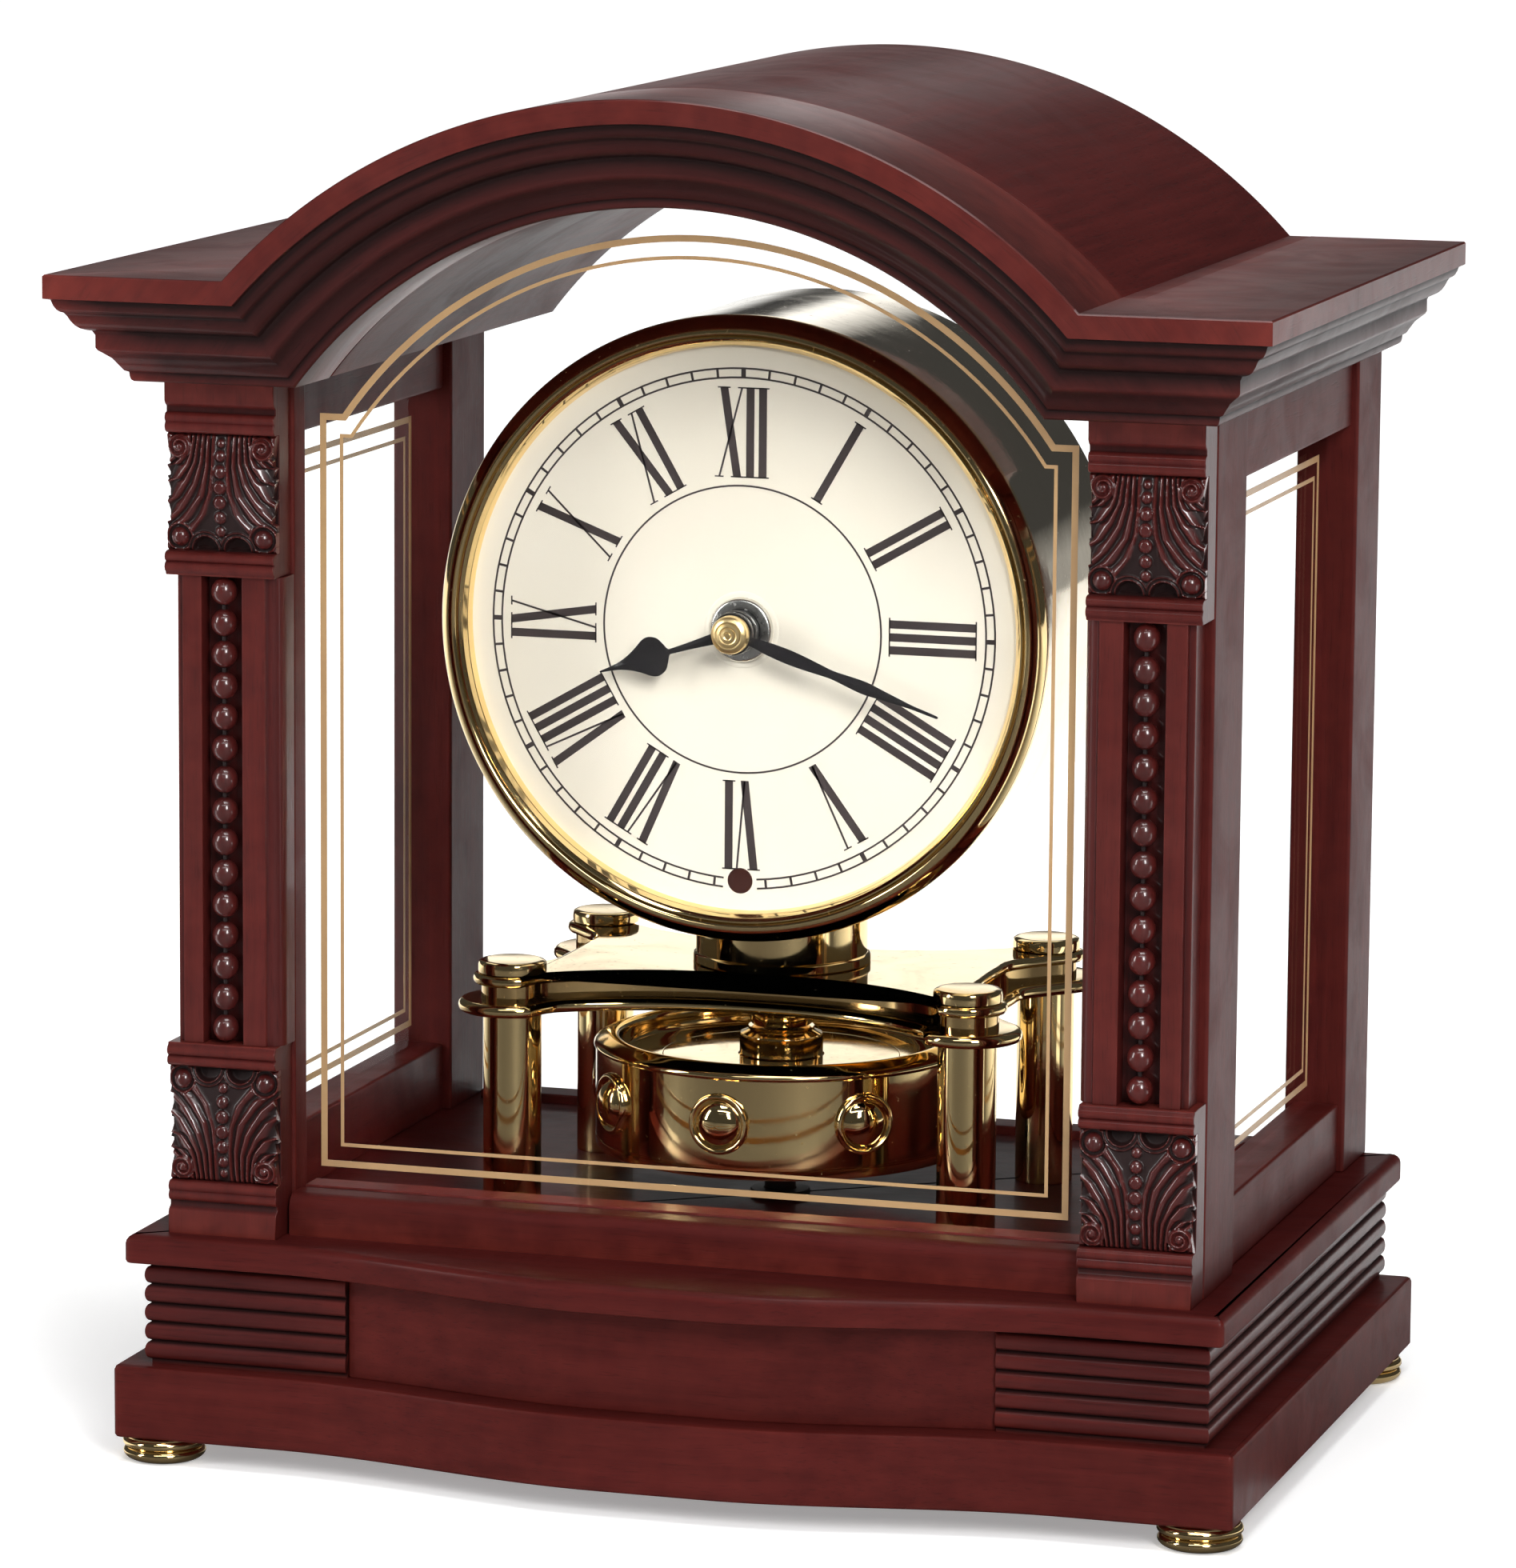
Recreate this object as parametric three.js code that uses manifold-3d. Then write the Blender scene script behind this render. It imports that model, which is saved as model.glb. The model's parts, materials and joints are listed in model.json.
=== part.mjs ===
// Arched mantel clock with a revolving pendulum, modelled in millimetres with +Z up.
// X runs left to right, the front faces -Y, and the origin is the middle of the footprint.
import * as THREE from "three";
import Module from "manifold-3d";

const wasm = await Module();
wasm.setup();

// ---------------------------------------------------------------- driving sizes
const DEPTH = 188.6;
const CASE_WIDTH = 224.2;
const FOOT_HEIGHT = 5.4;
const FOOT_RADIUS = 9;
const PLINTH_HEIGHT = 16;
const BAND_HEIGHT = 22.2;
const SHELF_HEIGHT = 6.3;
const CASE_HEIGHT = 182.5;
const CROWN_HEIGHT = 23;
const ARCH_RISE = 39.8;
const ARCH_SHOULDER = 39.45;
const CROWN_OVERHANG = 16.1;
const CROWN_SIDE_OVERHANG = 18.15;
const CROWN_BACK_SETBACK = 4;
const PLINTH_OVERHANG = 10.5;
const SHELF_OVERHANG = 7.9;
const SHELF_BACK_SETBACK = 2.1;
const BOW_INSET = 36.6;
const BOW_FLAT = 12;
const PLINTH_BOW = 10.8;
const SHELF_BOW = 12.5;
const REED_COUNT = 5;
const REED_PITCH = 4.1;
const REED_DEPTH = 1.2;
const REED_SETBACK = 3.4;
const BAND_THICKNESS = 12;
const REEDED_BLOCK_WIDTH = 45.4;
const APRON_SETBACK = 6.2;
const FRONT_POST_WIDTH = 25.3;
const FRONT_POST_DEPTH = 25.9;
const POST_FLANGE_DEPTH = 7.5;
const POST_SETBACK = 31.5;
const REAR_POST_WIDTH = 14.7;
const REAR_POST_DEPTH = 23;
const RAIL_INSET = 1.5;
const RAIL_THICKNESS = 11.2;
const TOP_RAIL_HEIGHT = 16;
const BOTTOM_RAIL_HEIGHT = 15.5;
const SILL_FRONT = 27.4;
const SILL_DEPTH = 17;
const SILL_HEIGHT = 8.9;
const GLASS_THICKNESS = 2.4;
const GLASS_FRONT = 35.1;
const SIDE_GLASS_INSET = 7;
const GROOVE_DEPTH = 3;
const FIT = 0.3;
const CAPITAL_WIDTH = 24.4;
const CAPITAL_HEIGHT = 41.3;
const CAPITAL_FRONT = 21.5;
const PILASTER_INSET = 12.4;
const SHAFT_HALF_WIDTH = 10.4;
const CHANNEL_HALF_WIDTH = 4.45;
const CHANNEL_DEPTH = 4.6;
const BEAD_RADIUS = 2.6;
const BEAD_COUNT = 15;
const CARVED_BEADS = 7;
const WORKS_SETBACK = 101.2;
const POST_SPAN_X = 50.85;
const POST_SPAN_Y = 32.2;
const BRASS_POST_RADIUS = 6.3;
const CAP_RADIUS = 7.4;
const CAP_HEIGHT = 2.8;
const POST_HEIGHT = 43.5;
const FLANGE_HEIGHT = 2.8;
const PLATFORM_HEIGHT = 8.3;
const UPPER_LOBE = 8.5;
const LOWER_LOBE = 11.7;
const PLATFORM_HALF_X = 47.2;
const PLATFORM_HALF_Y = 20.6;
const PENDULUM_RADIUS = 40.8;
const PENDULUM_CLEARANCE = 11.2;
const PENDULUM_HEIGHT = 25;
const DOME_COUNT = 8;
const DOME_RADIUS = 6;
const PIVOT_RADIUS = 3.4;
const DIAL_HEIGHT = 178.4;
const DIAL_SETBACK = 69.8;
const DIAL_OPENING = 60.3;
const DRUM_RADIUS = 66.8;
const DRUM_WALL = 1.6;
const DRUM_LENGTH = 62;
const PEDESTAL_RADIUS = 18.7;
const MODULE = 0.5;
const MINUTE_LENGTH = 47.9;
const HOUR_LENGTH = 31.7;
const MINUTE_ANGLE = 109;
const HOUR_ANGLE = 251.8;
const CASE_HALF_X = 42;
const CASE_HALF_Z = 32;
const CASE_DEPTH = 26;
const BATTERY_RADIUS = 7.1;
const BATTERY_LENGTH = 50;

// ---------------------------------------------------------------- derived places
const FRONT = -DEPTH / 2;
const POST_OUTER_X = CASE_WIDTH / 2;
const RAIL_OUTER_X = POST_OUTER_X - RAIL_INSET;
const SIDE_GLASS_X = POST_OUTER_X - SIDE_GLASS_INSET;
const PILASTER_X = POST_OUTER_X - PILASTER_INSET;
const CROWN_WIDTH = 2 * (POST_OUTER_X + CROWN_SIDE_OVERHANG);
const ARCH_HALF_SPAN = CROWN_WIDTH / 2 - ARCH_SHOULDER;
const PLINTH_HALF_WIDTH = POST_OUTER_X + PLINTH_OVERHANG;
const SHELF_HALF_WIDTH = POST_OUTER_X + SHELF_OVERHANG;
const APRON_HALF_WIDTH = SHELF_HALF_WIDTH - REED_SETBACK - REEDED_BLOCK_WIDTH;
const BOW_HALF = PLINTH_HALF_WIDTH - BOW_INSET;
const PLINTH_TOP = FOOT_HEIGHT + PLINTH_HEIGHT;
const BAND_TOP = PLINTH_TOP + BAND_HEIGHT;
const FLOOR = BAND_TOP + SHELF_HEIGHT;
const SOFFIT = FLOOR + CASE_HEIGHT;
const SHOULDER = SOFFIT + CROWN_HEIGHT;
const ARCH_RADIUS = (ARCH_HALF_SPAN ** 2 + ARCH_RISE ** 2) / (2 * ARCH_RISE);
const ARCH_CENTRE = SHOULDER + ARCH_RISE - ARCH_RADIUS;
const CEILING_RADIUS = ARCH_RADIUS - CROWN_HEIGHT + 0.4;
const POST_FRONT = FRONT + POST_SETBACK;
const POST_BACK = POST_FRONT + FRONT_POST_DEPTH;
const CROWN_BACK = -FRONT - CROWN_BACK_SETBACK;
const REAR_POST_FRONT = CROWN_BACK - REAR_POST_DEPTH;
const GROOVE_FRONT = FRONT + GLASS_FRONT - FIT;
const GROOVE_BACK = FRONT + GLASS_FRONT + GLASS_THICKNESS + FIT;
const MITRE_DEPTH = GROOVE_FRONT - FRONT;
const CROWN_INNER_X = CROWN_WIDTH / 2 - MITRE_DEPTH;
const CAPITAL_Y = FRONT + CAPITAL_FRONT;
const WORKS_Y = FRONT + WORKS_SETBACK;
const PLATFORM_BOTTOM = FLOOR + POST_HEIGHT;
const PLATFORM_TOP = PLATFORM_BOTTOM + PLATFORM_HEIGHT;
const PENDULUM_BOTTOM = FLOOR + PENDULUM_CLEARANCE;
const PENDULUM_TOP = PENDULUM_BOTTOM + PENDULUM_HEIGHT;
const DIAL_Y = FRONT + DIAL_SETBACK;
const DIAL_BACK = DIAL_Y + 0.8;
const GEAR_OFFSET = 20 * MODULE;
const PLATE_FRONT = DIAL_BACK + 2;
const MOVEMENT_FRONT = PLATE_FRONT + 2;
const MOVEMENT_BACK = MOVEMENT_FRONT + CASE_DEPTH;

// ---------------------------------------------------------------- finishes
function finish(color, roughness, metalness) {
  return new THREE.MeshStandardMaterial({ color, roughness, metalness });
}
const wood = () => finish(0x4a1f1c, 0.3, 0);
const darkWood = () => finish(0x2b1716, 0.35, 0);
const brass = () => finish(0xc79a4b, 0.12, 1);
const glass = () => {
  const clear = finish(0xeef2f1, 0.05, 0);
  clear.transparent = true;
  clear.opacity = 0.25;
  return clear;
};
const black = () => finish(0x141312, 0.35, 0);
const cream = () => finish(0xf2ead2, 0.5, 0);
const steel = () => finish(0xb9b9b6, 0.3, 1);

// ---------------------------------------------------------------- solid builders
// Turns a three.js geometry into a closed solid whose faces point outwards.
function solid(geometry) {
  const source = geometry.index ? geometry.toNonIndexed() : geometry;
  const places = source.attributes.position;
  const seen = new Map();
  const points = [];
  const faces = [];
  for (let i = 0; i < places.count; i += 1) {
    const point = [places.getX(i), places.getY(i), places.getZ(i)];
    const key = point.map((value) => Math.round(value * 1e4)).join(",");
    if (!seen.has(key)) {
      seen.set(key, points.length);
      points.push(point);
    }
    faces.push(seen.get(key));
  }
  const triangles = [];
  let volume = 0;
  for (let i = 0; i < faces.length; i += 3) {
    const [a, b, c] = faces.slice(i, i + 3);
    if (a !== b && b !== c && c !== a) {
      const [u, v, w] = [a, b, c].map((index) => new THREE.Vector3(...points[index]));
      volume += u.dot(v.cross(w));
      triangles.push([a, b, c]);
    }
  }
  if (volume < 0) {
    triangles.forEach((triangle) => triangle.reverse());
  }
  const mesh = new wasm.Mesh({
    numProp: 3,
    vertProperties: Float32Array.from(points.flat()),
    triVerts: Uint32Array.from(triangles.flat()),
  });
  return new wasm.Manifold(mesh);
}

function geometryOf(shape) {
  const mesh = shape.getMesh();
  const geometry = new THREE.BufferGeometry();
  geometry.setAttribute("position", new THREE.BufferAttribute(mesh.vertProperties, 3));
  geometry.setIndex(new THREE.BufferAttribute(mesh.triVerts, 1));
  geometry.computeVertexNormals();
  return geometry;
}

function join(...solids) {
  return solids.reduce((whole, next) => whole.add(next));
}

function extrude(points, length) {
  const shape = new THREE.Shape(points.map(([x, y]) => new THREE.Vector2(x, y)));
  return new THREE.ExtrudeGeometry(shape, { depth: length, bevelEnabled: false });
}

// A prism whose outline lists X and Y, standing from bottom to top.
function prismZ(points, bottom, top) {
  return solid(extrude(points, top - bottom).translate(0, 0, bottom));
}

// A prism whose outline lists X and Z, running from front to back.
function prismY(points, front, back) {
  return solid(extrude(points, back - front).rotateX(Math.PI / 2).translate(0, back, 0));
}

// A prism whose outline lists Y and Z, running from left to right.
function prismX(points, left, right) {
  const turn = new THREE.Matrix4().set(0, 0, 1, left, 1, 0, 0, 0, 0, 1, 0, 0, 0, 0, 0, 1);
  return solid(extrude(points, right - left).applyMatrix4(turn));
}

function box(x0, x1, y0, y1, z0, z1) {
  const geometry = new THREE.BoxGeometry(x1 - x0, y1 - y0, z1 - z0);
  return solid(geometry.translate((x0 + x1) / 2, (y0 + y1) / 2, (z0 + z1) / 2));
}

function lathe(profile, segments) {
  const ring = profile[0][0] > 0 ? [...profile, profile[0]] : profile;
  const points = ring.map(([radius, along]) => new THREE.Vector2(radius, along));
  return new THREE.LatheGeometry(points, segments);
}

// A turned solid about the vertical through (x, y); the profile lists radius and height.
function turnedZ(profile, segments, x, y) {
  return solid(lathe(profile, segments).rotateX(Math.PI / 2).translate(x, y, 0));
}

// A turned solid about the fore-and-aft axis through (x, z); the profile lists radius and Y.
function turnedY(profile, segments, x, z) {
  return solid(lathe(profile, segments).translate(x, 0, z));
}

function rodZ(radius, bottom, top, segments, x, y) {
  return turnedZ([[0, bottom], [radius, bottom], [radius, top], [0, top]], segments, x, y);
}

function rodY(radius, front, back, segments, x, z) {
  return turnedY([[0, front], [radius, front], [radius, back], [0, back]], segments, x, z);
}

function ball(radius, x, y, z) {
  return solid(new THREE.SphereGeometry(radius, 7, 4).rotateX(Math.PI / 2).translate(x, y, z));
}

function arc(cx, cy, radius, from, to, steps) {
  return Array.from({ length: steps + 1 }, (_, i) => {
    const angle = THREE.MathUtils.degToRad(from + ((to - from) * i) / steps);
    return [cx + radius * Math.cos(angle), cy + radius * Math.sin(angle)];
  });
}

const clock = new THREE.Group();
clock.name = "mantel_clock";

function add(name, shape, material) {
  const mesh = new THREE.Mesh(geometryOf(shape), material);
  mesh.name = name;
  clock.add(mesh);
}

// Adds a piece and its mirror image across the middle of the clock.
function addPair(stem, shape, material) {
  add(`${stem}_right`, shape, material());
  add(`${stem}_left`, shape.mirror([1, 0, 0]), material());
}

// ---------------------------------------------------------------- base
// How far the serpentine front swells forward at a given X.
function bow(x, depth) {
  const t = THREE.MathUtils.clamp((BOW_HALF - Math.abs(x)) / (BOW_HALF - BOW_FLAT), 0, 1);
  return depth * t * t * (3 - 2 * t);
}

function bowedFront(halfWidth, front, depth) {
  const steps = 22;
  const reach = Math.min(halfWidth, BOW_HALF);
  const curve = Array.from({ length: steps + 1 }, (_, i) => {
    const x = -reach + (2 * reach * i) / steps;
    return [x, front - bow(x, depth)];
  });
  return halfWidth > reach ? [[-halfWidth, front], ...curve, [halfWidth, front]] : curve;
}

function bowedSlab(halfWidth, front, back, depth, bottom, top) {
  const plan = [...bowedFront(halfWidth, front, depth), [halfWidth, back], [-halfWidth, back]];
  return prismZ(plan, bottom, top);
}

function buildBase() {
  const plinthFront = FRONT + CROWN_OVERHANG;
  const footX = PLINTH_HALF_WIDTH - FOOT_RADIUS + 0.4;
  const footY = [["front", plinthFront + 8], ["rear", -FRONT - 8 - FOOT_RADIUS / 2]];
  const footProfile = [
    [0, 0], [6.2, 0], [8.8, 1.9], [8.2, 2.6], [FOOT_RADIUS, 3.3], [8.6, FOOT_HEIGHT], [0, FOOT_HEIGHT],
  ];
  footY.forEach(([end, y]) => {
    addPair(`foot_${end}`, turnedZ(footProfile, 16, footX, y), brass);
  });
  add("base_plinth", bowedSlab(PLINTH_HALF_WIDTH, plinthFront, -FRONT, PLINTH_BOW, FOOT_HEIGHT,
    PLINTH_TOP), wood());

  const shelfBack = -FRONT - SHELF_BACK_SETBACK;
  const lip = box(-CROWN_INNER_X, CROWN_INNER_X, REAR_POST_FRONT + 15, CROWN_BACK, FLOOR - 1, FLOOR + 2);
  const shelf = bowedSlab(SHELF_HALF_WIDTH, plinthFront + 0.2, shelfBack, SHELF_BOW, BAND_TOP, FLOOR);
  add("base_shelf", join(shelf, lip), wood());

  const reedFace = SHELF_HALF_WIDTH - REED_SETBACK;
  const bandFront = plinthFront + REED_SETBACK;
  addPair("reeded_corner", reededCorner(reedFace, bandFront, shelfBack), wood);
  const apronFront = plinthFront + APRON_SETBACK;
  const apronBack = bandFront + BAND_THICKNESS;
  add("base_front_apron", bowedSlab(APRON_HALF_WIDTH - FIT / 2, apronFront, apronBack, PLINTH_BOW,
    PLINTH_TOP, BAND_TOP), wood());
  const inner = reedFace - BAND_THICKNESS;
  add("base_back_rail", box(-inner, inner, shelfBack - 8, shelfBack, PLINTH_TOP, BAND_TOP), darkWood());

  const sillY = FRONT + SILL_FRONT;
  const sillTop = FLOOR + SILL_HEIGHT;
  const postInner = POST_OUTER_X - FRONT_POST_WIDTH;
  const sill = box(-postInner, postInner, sillY, sillY + SILL_DEPTH, FLOOR, sillTop);
  const groove = box(-postInner - 1, postInner + 1, GROOVE_FRONT, GROOVE_BACK, sillTop - GROOVE_DEPTH,
    sillTop + 1);
  add("front_sill", sill.subtract(groove), wood());
}

// Half-round reeds down a face; the profile lists how far each point stands back and its height.
function reedProfile() {
  const margin = (BAND_HEIGHT - REED_COUNT * REED_PITCH) / 2;
  const profile = [[REED_DEPTH, PLINTH_TOP]];
  for (let reed = 0; reed < REED_COUNT; reed += 1) {
    const foot = PLINTH_TOP + margin + reed * REED_PITCH;
    [0, 0.18, 0.5, 0.82].forEach((part) => {
      profile.push([REED_DEPTH * (1 - Math.sin(Math.PI * part)), foot + part * REED_PITCH]);
    });
  }
  profile.push([REED_DEPTH, BAND_TOP - margin], [REED_DEPTH, BAND_TOP]);
  return profile;
}

// The reeds turn the corner in a mitre, because each leg is cut by the other leg's profile.
function reededCorner(sideX, frontY, backY) {
  const profile = reedProfile();
  const frontLeg = profile.map(([back, z]) => [frontY + back, z]);
  const sideLeg = profile.map(([back, z]) => [sideX - back, z]);
  const front = prismX([...frontLeg, [backY, BAND_TOP], [backY, PLINTH_TOP]], APRON_HALF_WIDTH, sideX + 1);
  const side = prismY([...sideLeg, [APRON_HALF_WIDTH, BAND_TOP], [APRON_HALF_WIDTH, PLINTH_TOP]],
    frontY - 1, backY);
  const inside = box(APRON_HALF_WIDTH - 1, sideX - BAND_THICKNESS, frontY + BAND_THICKNESS, backY + 1,
    PLINTH_TOP - 1, BAND_TOP + 1);
  return front.intersect(side).subtract(inside);
}

// ---------------------------------------------------------------- case
function buildPosts() {
  const innerX = POST_OUTER_X - FRONT_POST_WIDTH;
  const rearInner = POST_OUTER_X - REAR_POST_WIDTH;
  const front = join(
    box(innerX, POST_OUTER_X, POST_FRONT, POST_FRONT + POST_FLANGE_DEPTH, FLOOR, SOFFIT),
    box(rearInner, POST_OUTER_X, POST_FRONT, POST_BACK, FLOOR, SOFFIT),
  );
  const frontGroove = box(innerX - 1, innerX + GROOVE_DEPTH, GROOVE_FRONT, GROOVE_BACK, FLOOR - 1,
    SOFFIT + 1);
  const glassInner = SIDE_GLASS_X - GLASS_THICKNESS - FIT;
  const sideGroove = box(glassInner, SIDE_GLASS_X + FIT, POST_BACK - GROOVE_DEPTH,
    REAR_POST_FRONT + GROOVE_DEPTH, FLOOR - 1, SOFFIT + 1);
  addPair("corner_post_front", front.subtract(frontGroove).subtract(sideGroove), wood);

  const rear = box(rearInner, POST_OUTER_X, REAR_POST_FRONT, CROWN_BACK, FLOOR, SOFFIT);
  addPair("corner_post_rear", rear.subtract(sideGroove), wood);

  const railInner = RAIL_OUTER_X - RAIL_THICKNESS;
  const railBottom = SOFFIT - TOP_RAIL_HEIGHT;
  const railTop = FLOOR + BOTTOM_RAIL_HEIGHT;
  const topRail = box(railInner, RAIL_OUTER_X, POST_BACK, REAR_POST_FRONT, railBottom, SOFFIT);
  const topGroove = box(glassInner, SIDE_GLASS_X + FIT, POST_BACK - 1, REAR_POST_FRONT + 1,
    railBottom - 1, railBottom + GROOVE_DEPTH);
  addPair("side_rail_top", topRail.subtract(topGroove), wood);
  const bottomRail = box(railInner, RAIL_OUTER_X, POST_BACK, REAR_POST_FRONT, FLOOR, railTop);
  const bottomGroove = box(glassInner, SIDE_GLASS_X + FIT, POST_BACK - 1, REAR_POST_FRONT + 1,
    railTop - GROOVE_DEPTH, railTop + 1);
  addPair("side_rail_bottom", bottomRail.subtract(bottomGroove), wood);

  const bite = GROOVE_DEPTH - FIT;
  addPair("side_glass", box(SIDE_GLASS_X - GLASS_THICKNESS, SIDE_GLASS_X, POST_BACK - bite,
    REAR_POST_FRONT + bite, railTop - bite, railBottom + bite), glass);
  add("front_glass", frontGlass(innerX + bite, FLOOR + SILL_HEIGHT - bite, bite), glass());
}

function frontGlass(halfWidth, bottom, bite) {
  const radius = CEILING_RADIUS + bite;
  const shoulder = SOFFIT - FIT;
  const springing = THREE.MathUtils.radToDeg(Math.asin((shoulder - ARCH_CENTRE) / radius));
  const pane = [
    [-halfWidth, bottom], [halfWidth, bottom], [halfWidth, shoulder],
    ...arc(0, ARCH_CENTRE, radius, springing, 180 - springing, 24), [-halfWidth, shoulder],
  ];
  const front = FRONT + GLASS_FRONT;
  return prismY(pane, front, front + GLASS_THICKNESS);
}

function buildPilasters() {
  const lower = carvedCapital();
  const middle = FLOOR + CASE_HEIGHT / 2;
  const upper = lower.translate([0, 0, -middle]).mirror([0, 0, 1]).translate([0, 0, middle]);
  addPair("capital_lower", lower, wood);
  addPair("capital_upper", upper, wood);

  const shaftFront = CAPITAL_Y + 1.2;
  const shaftBottom = FLOOR + CAPITAL_HEIGHT;
  const shaftTop = SOFFIT - CAPITAL_HEIGHT;
  const outerX = PILASTER_X + SHAFT_HALF_WIDTH;
  const innerX = PILASTER_X - SHAFT_HALF_WIDTH - 0.4;
  const section = [
    [outerX, POST_FRONT], [innerX - 1.6, POST_FRONT], [innerX - 1.9, shaftFront + 4],
    [innerX - 1.2, shaftFront + 2], [innerX, shaftFront + 1.2], [innerX, shaftFront],
    [PILASTER_X - CHANNEL_HALF_WIDTH, shaftFront],
    [PILASTER_X - CHANNEL_HALF_WIDTH, shaftFront + CHANNEL_DEPTH],
    [PILASTER_X + CHANNEL_HALF_WIDTH, shaftFront + CHANNEL_DEPTH],
    [PILASTER_X + CHANNEL_HALF_WIDTH, shaftFront], [outerX, shaftFront],
  ];
  addPair("pilaster_shaft", prismZ(section, shaftBottom, shaftTop), wood);
  const beadY = shaftFront + CHANNEL_DEPTH - BEAD_RADIUS - FIT;
  addPair("bead_string", beadString(shaftBottom, shaftTop, PILASTER_X, beadY), wood);
}

// One turned rod of round beads, each meeting the next at a narrow neck.
function beadString(bottom, top, x, y) {
  const pitch = (top - bottom) / BEAD_COUNT;
  const profile = [[0, bottom]];
  for (let bead = 0; bead < BEAD_COUNT; bead += 1) {
    [0.04, 0.3, 0.7, 0.96].forEach((part) => {
      const radius = BEAD_RADIUS * Math.min(1, 1.12 * Math.sin(Math.PI * part) ** 0.6);
      profile.push([radius, bottom + (bead + part) * pitch]);
    });
  }
  profile.push([0, top]);
  return turnedZ(profile, 8, x, y);
}

// The lower capital: a moulded block, double fillet, leaf carving and a double bead on top.
function carvedCapital() {
  const left = PILASTER_X - CAPITAL_WIDTH / 2;
  const right = PILASTER_X + CAPITAL_WIDTH / 2;
  const section = [
    [0, 0], [0, 4.6], [1.3, 6], [1.3, 6.9], [0.4, 7.2], [0, 8.2], [0.5, 9.1], [0, 10], [0.4, 11],
    [2.6, 11.4], [2.6, 36.2], [0.3, 36.4], [-0.4, 37.4], [0.3, 38.5], [-0.5, 39.7], [0.3, 40.9],
    [0.4, CAPITAL_HEIGHT],
  ];
  const depth = POST_FRONT - CAPITAL_Y;
  const ring = [[depth, 0], ...section, [depth, CAPITAL_HEIGHT]];
  const block = prismX(ring.map(([back, up]) => [CAPITAL_Y + back, FLOOR + up]), left, right);
  const face = CAPITAL_Y + 2.6;
  const carving = [];
  [-1, 1].forEach((side) => {
    carving.push(rodY(3.6, face - 2.6, face + 1, 10, PILASTER_X + side * 8.6, FLOOR + 15.2));
    carving.push(ball(2.5, PILASTER_X + side * 9.6, face - 0.4, FLOOR + 33.4));
    [0, 1, 2].forEach((leaf) => {
      const reach = 10.9 - leaf * 1.2;
      const tip = 29.5 - leaf * 5.6;
      const blade = [
        [1.6 + leaf * 1.1, 11.6], [2.4 + leaf * 1.1, 20 - leaf * 2], [reach, tip],
        [reach - 0.3, tip - 4.4], [4.6 + leaf * 1.4, 16 - leaf], [4 + leaf * 1.2, 11.6],
      ];
      const plan = blade.map(([out, up]) => [PILASTER_X + side * out, FLOOR + up]);
      carving.push(prismY(plan, face - 1.9 + leaf * 0.3, face + 1));
    });
  });
  for (let bead = 0; bead < CARVED_BEADS; bead += 1) {
    carving.push(ball(1.6, PILASTER_X, face - 0.9, FLOOR + 13 + bead * 3.3));
  }
  return join(block, ...carving);
}

// ---------------------------------------------------------------- crown
// The crown moulding in section: how far each point stands back, and how far below the top.
const CROWN_PROFILE = [
  [0, 0], [0, 5], [1.3, 5.3], [2.2, 7.4], [3.9, 8.8], [5.1, 10.8], [7, 11.9], [8.4, 13], [8.4, 15.6],
  [9.7, 17], [11.9, 19.3], [12.9, 20.7], [13.7, 21], [14.5, CROWN_HEIGHT],
];

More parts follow.
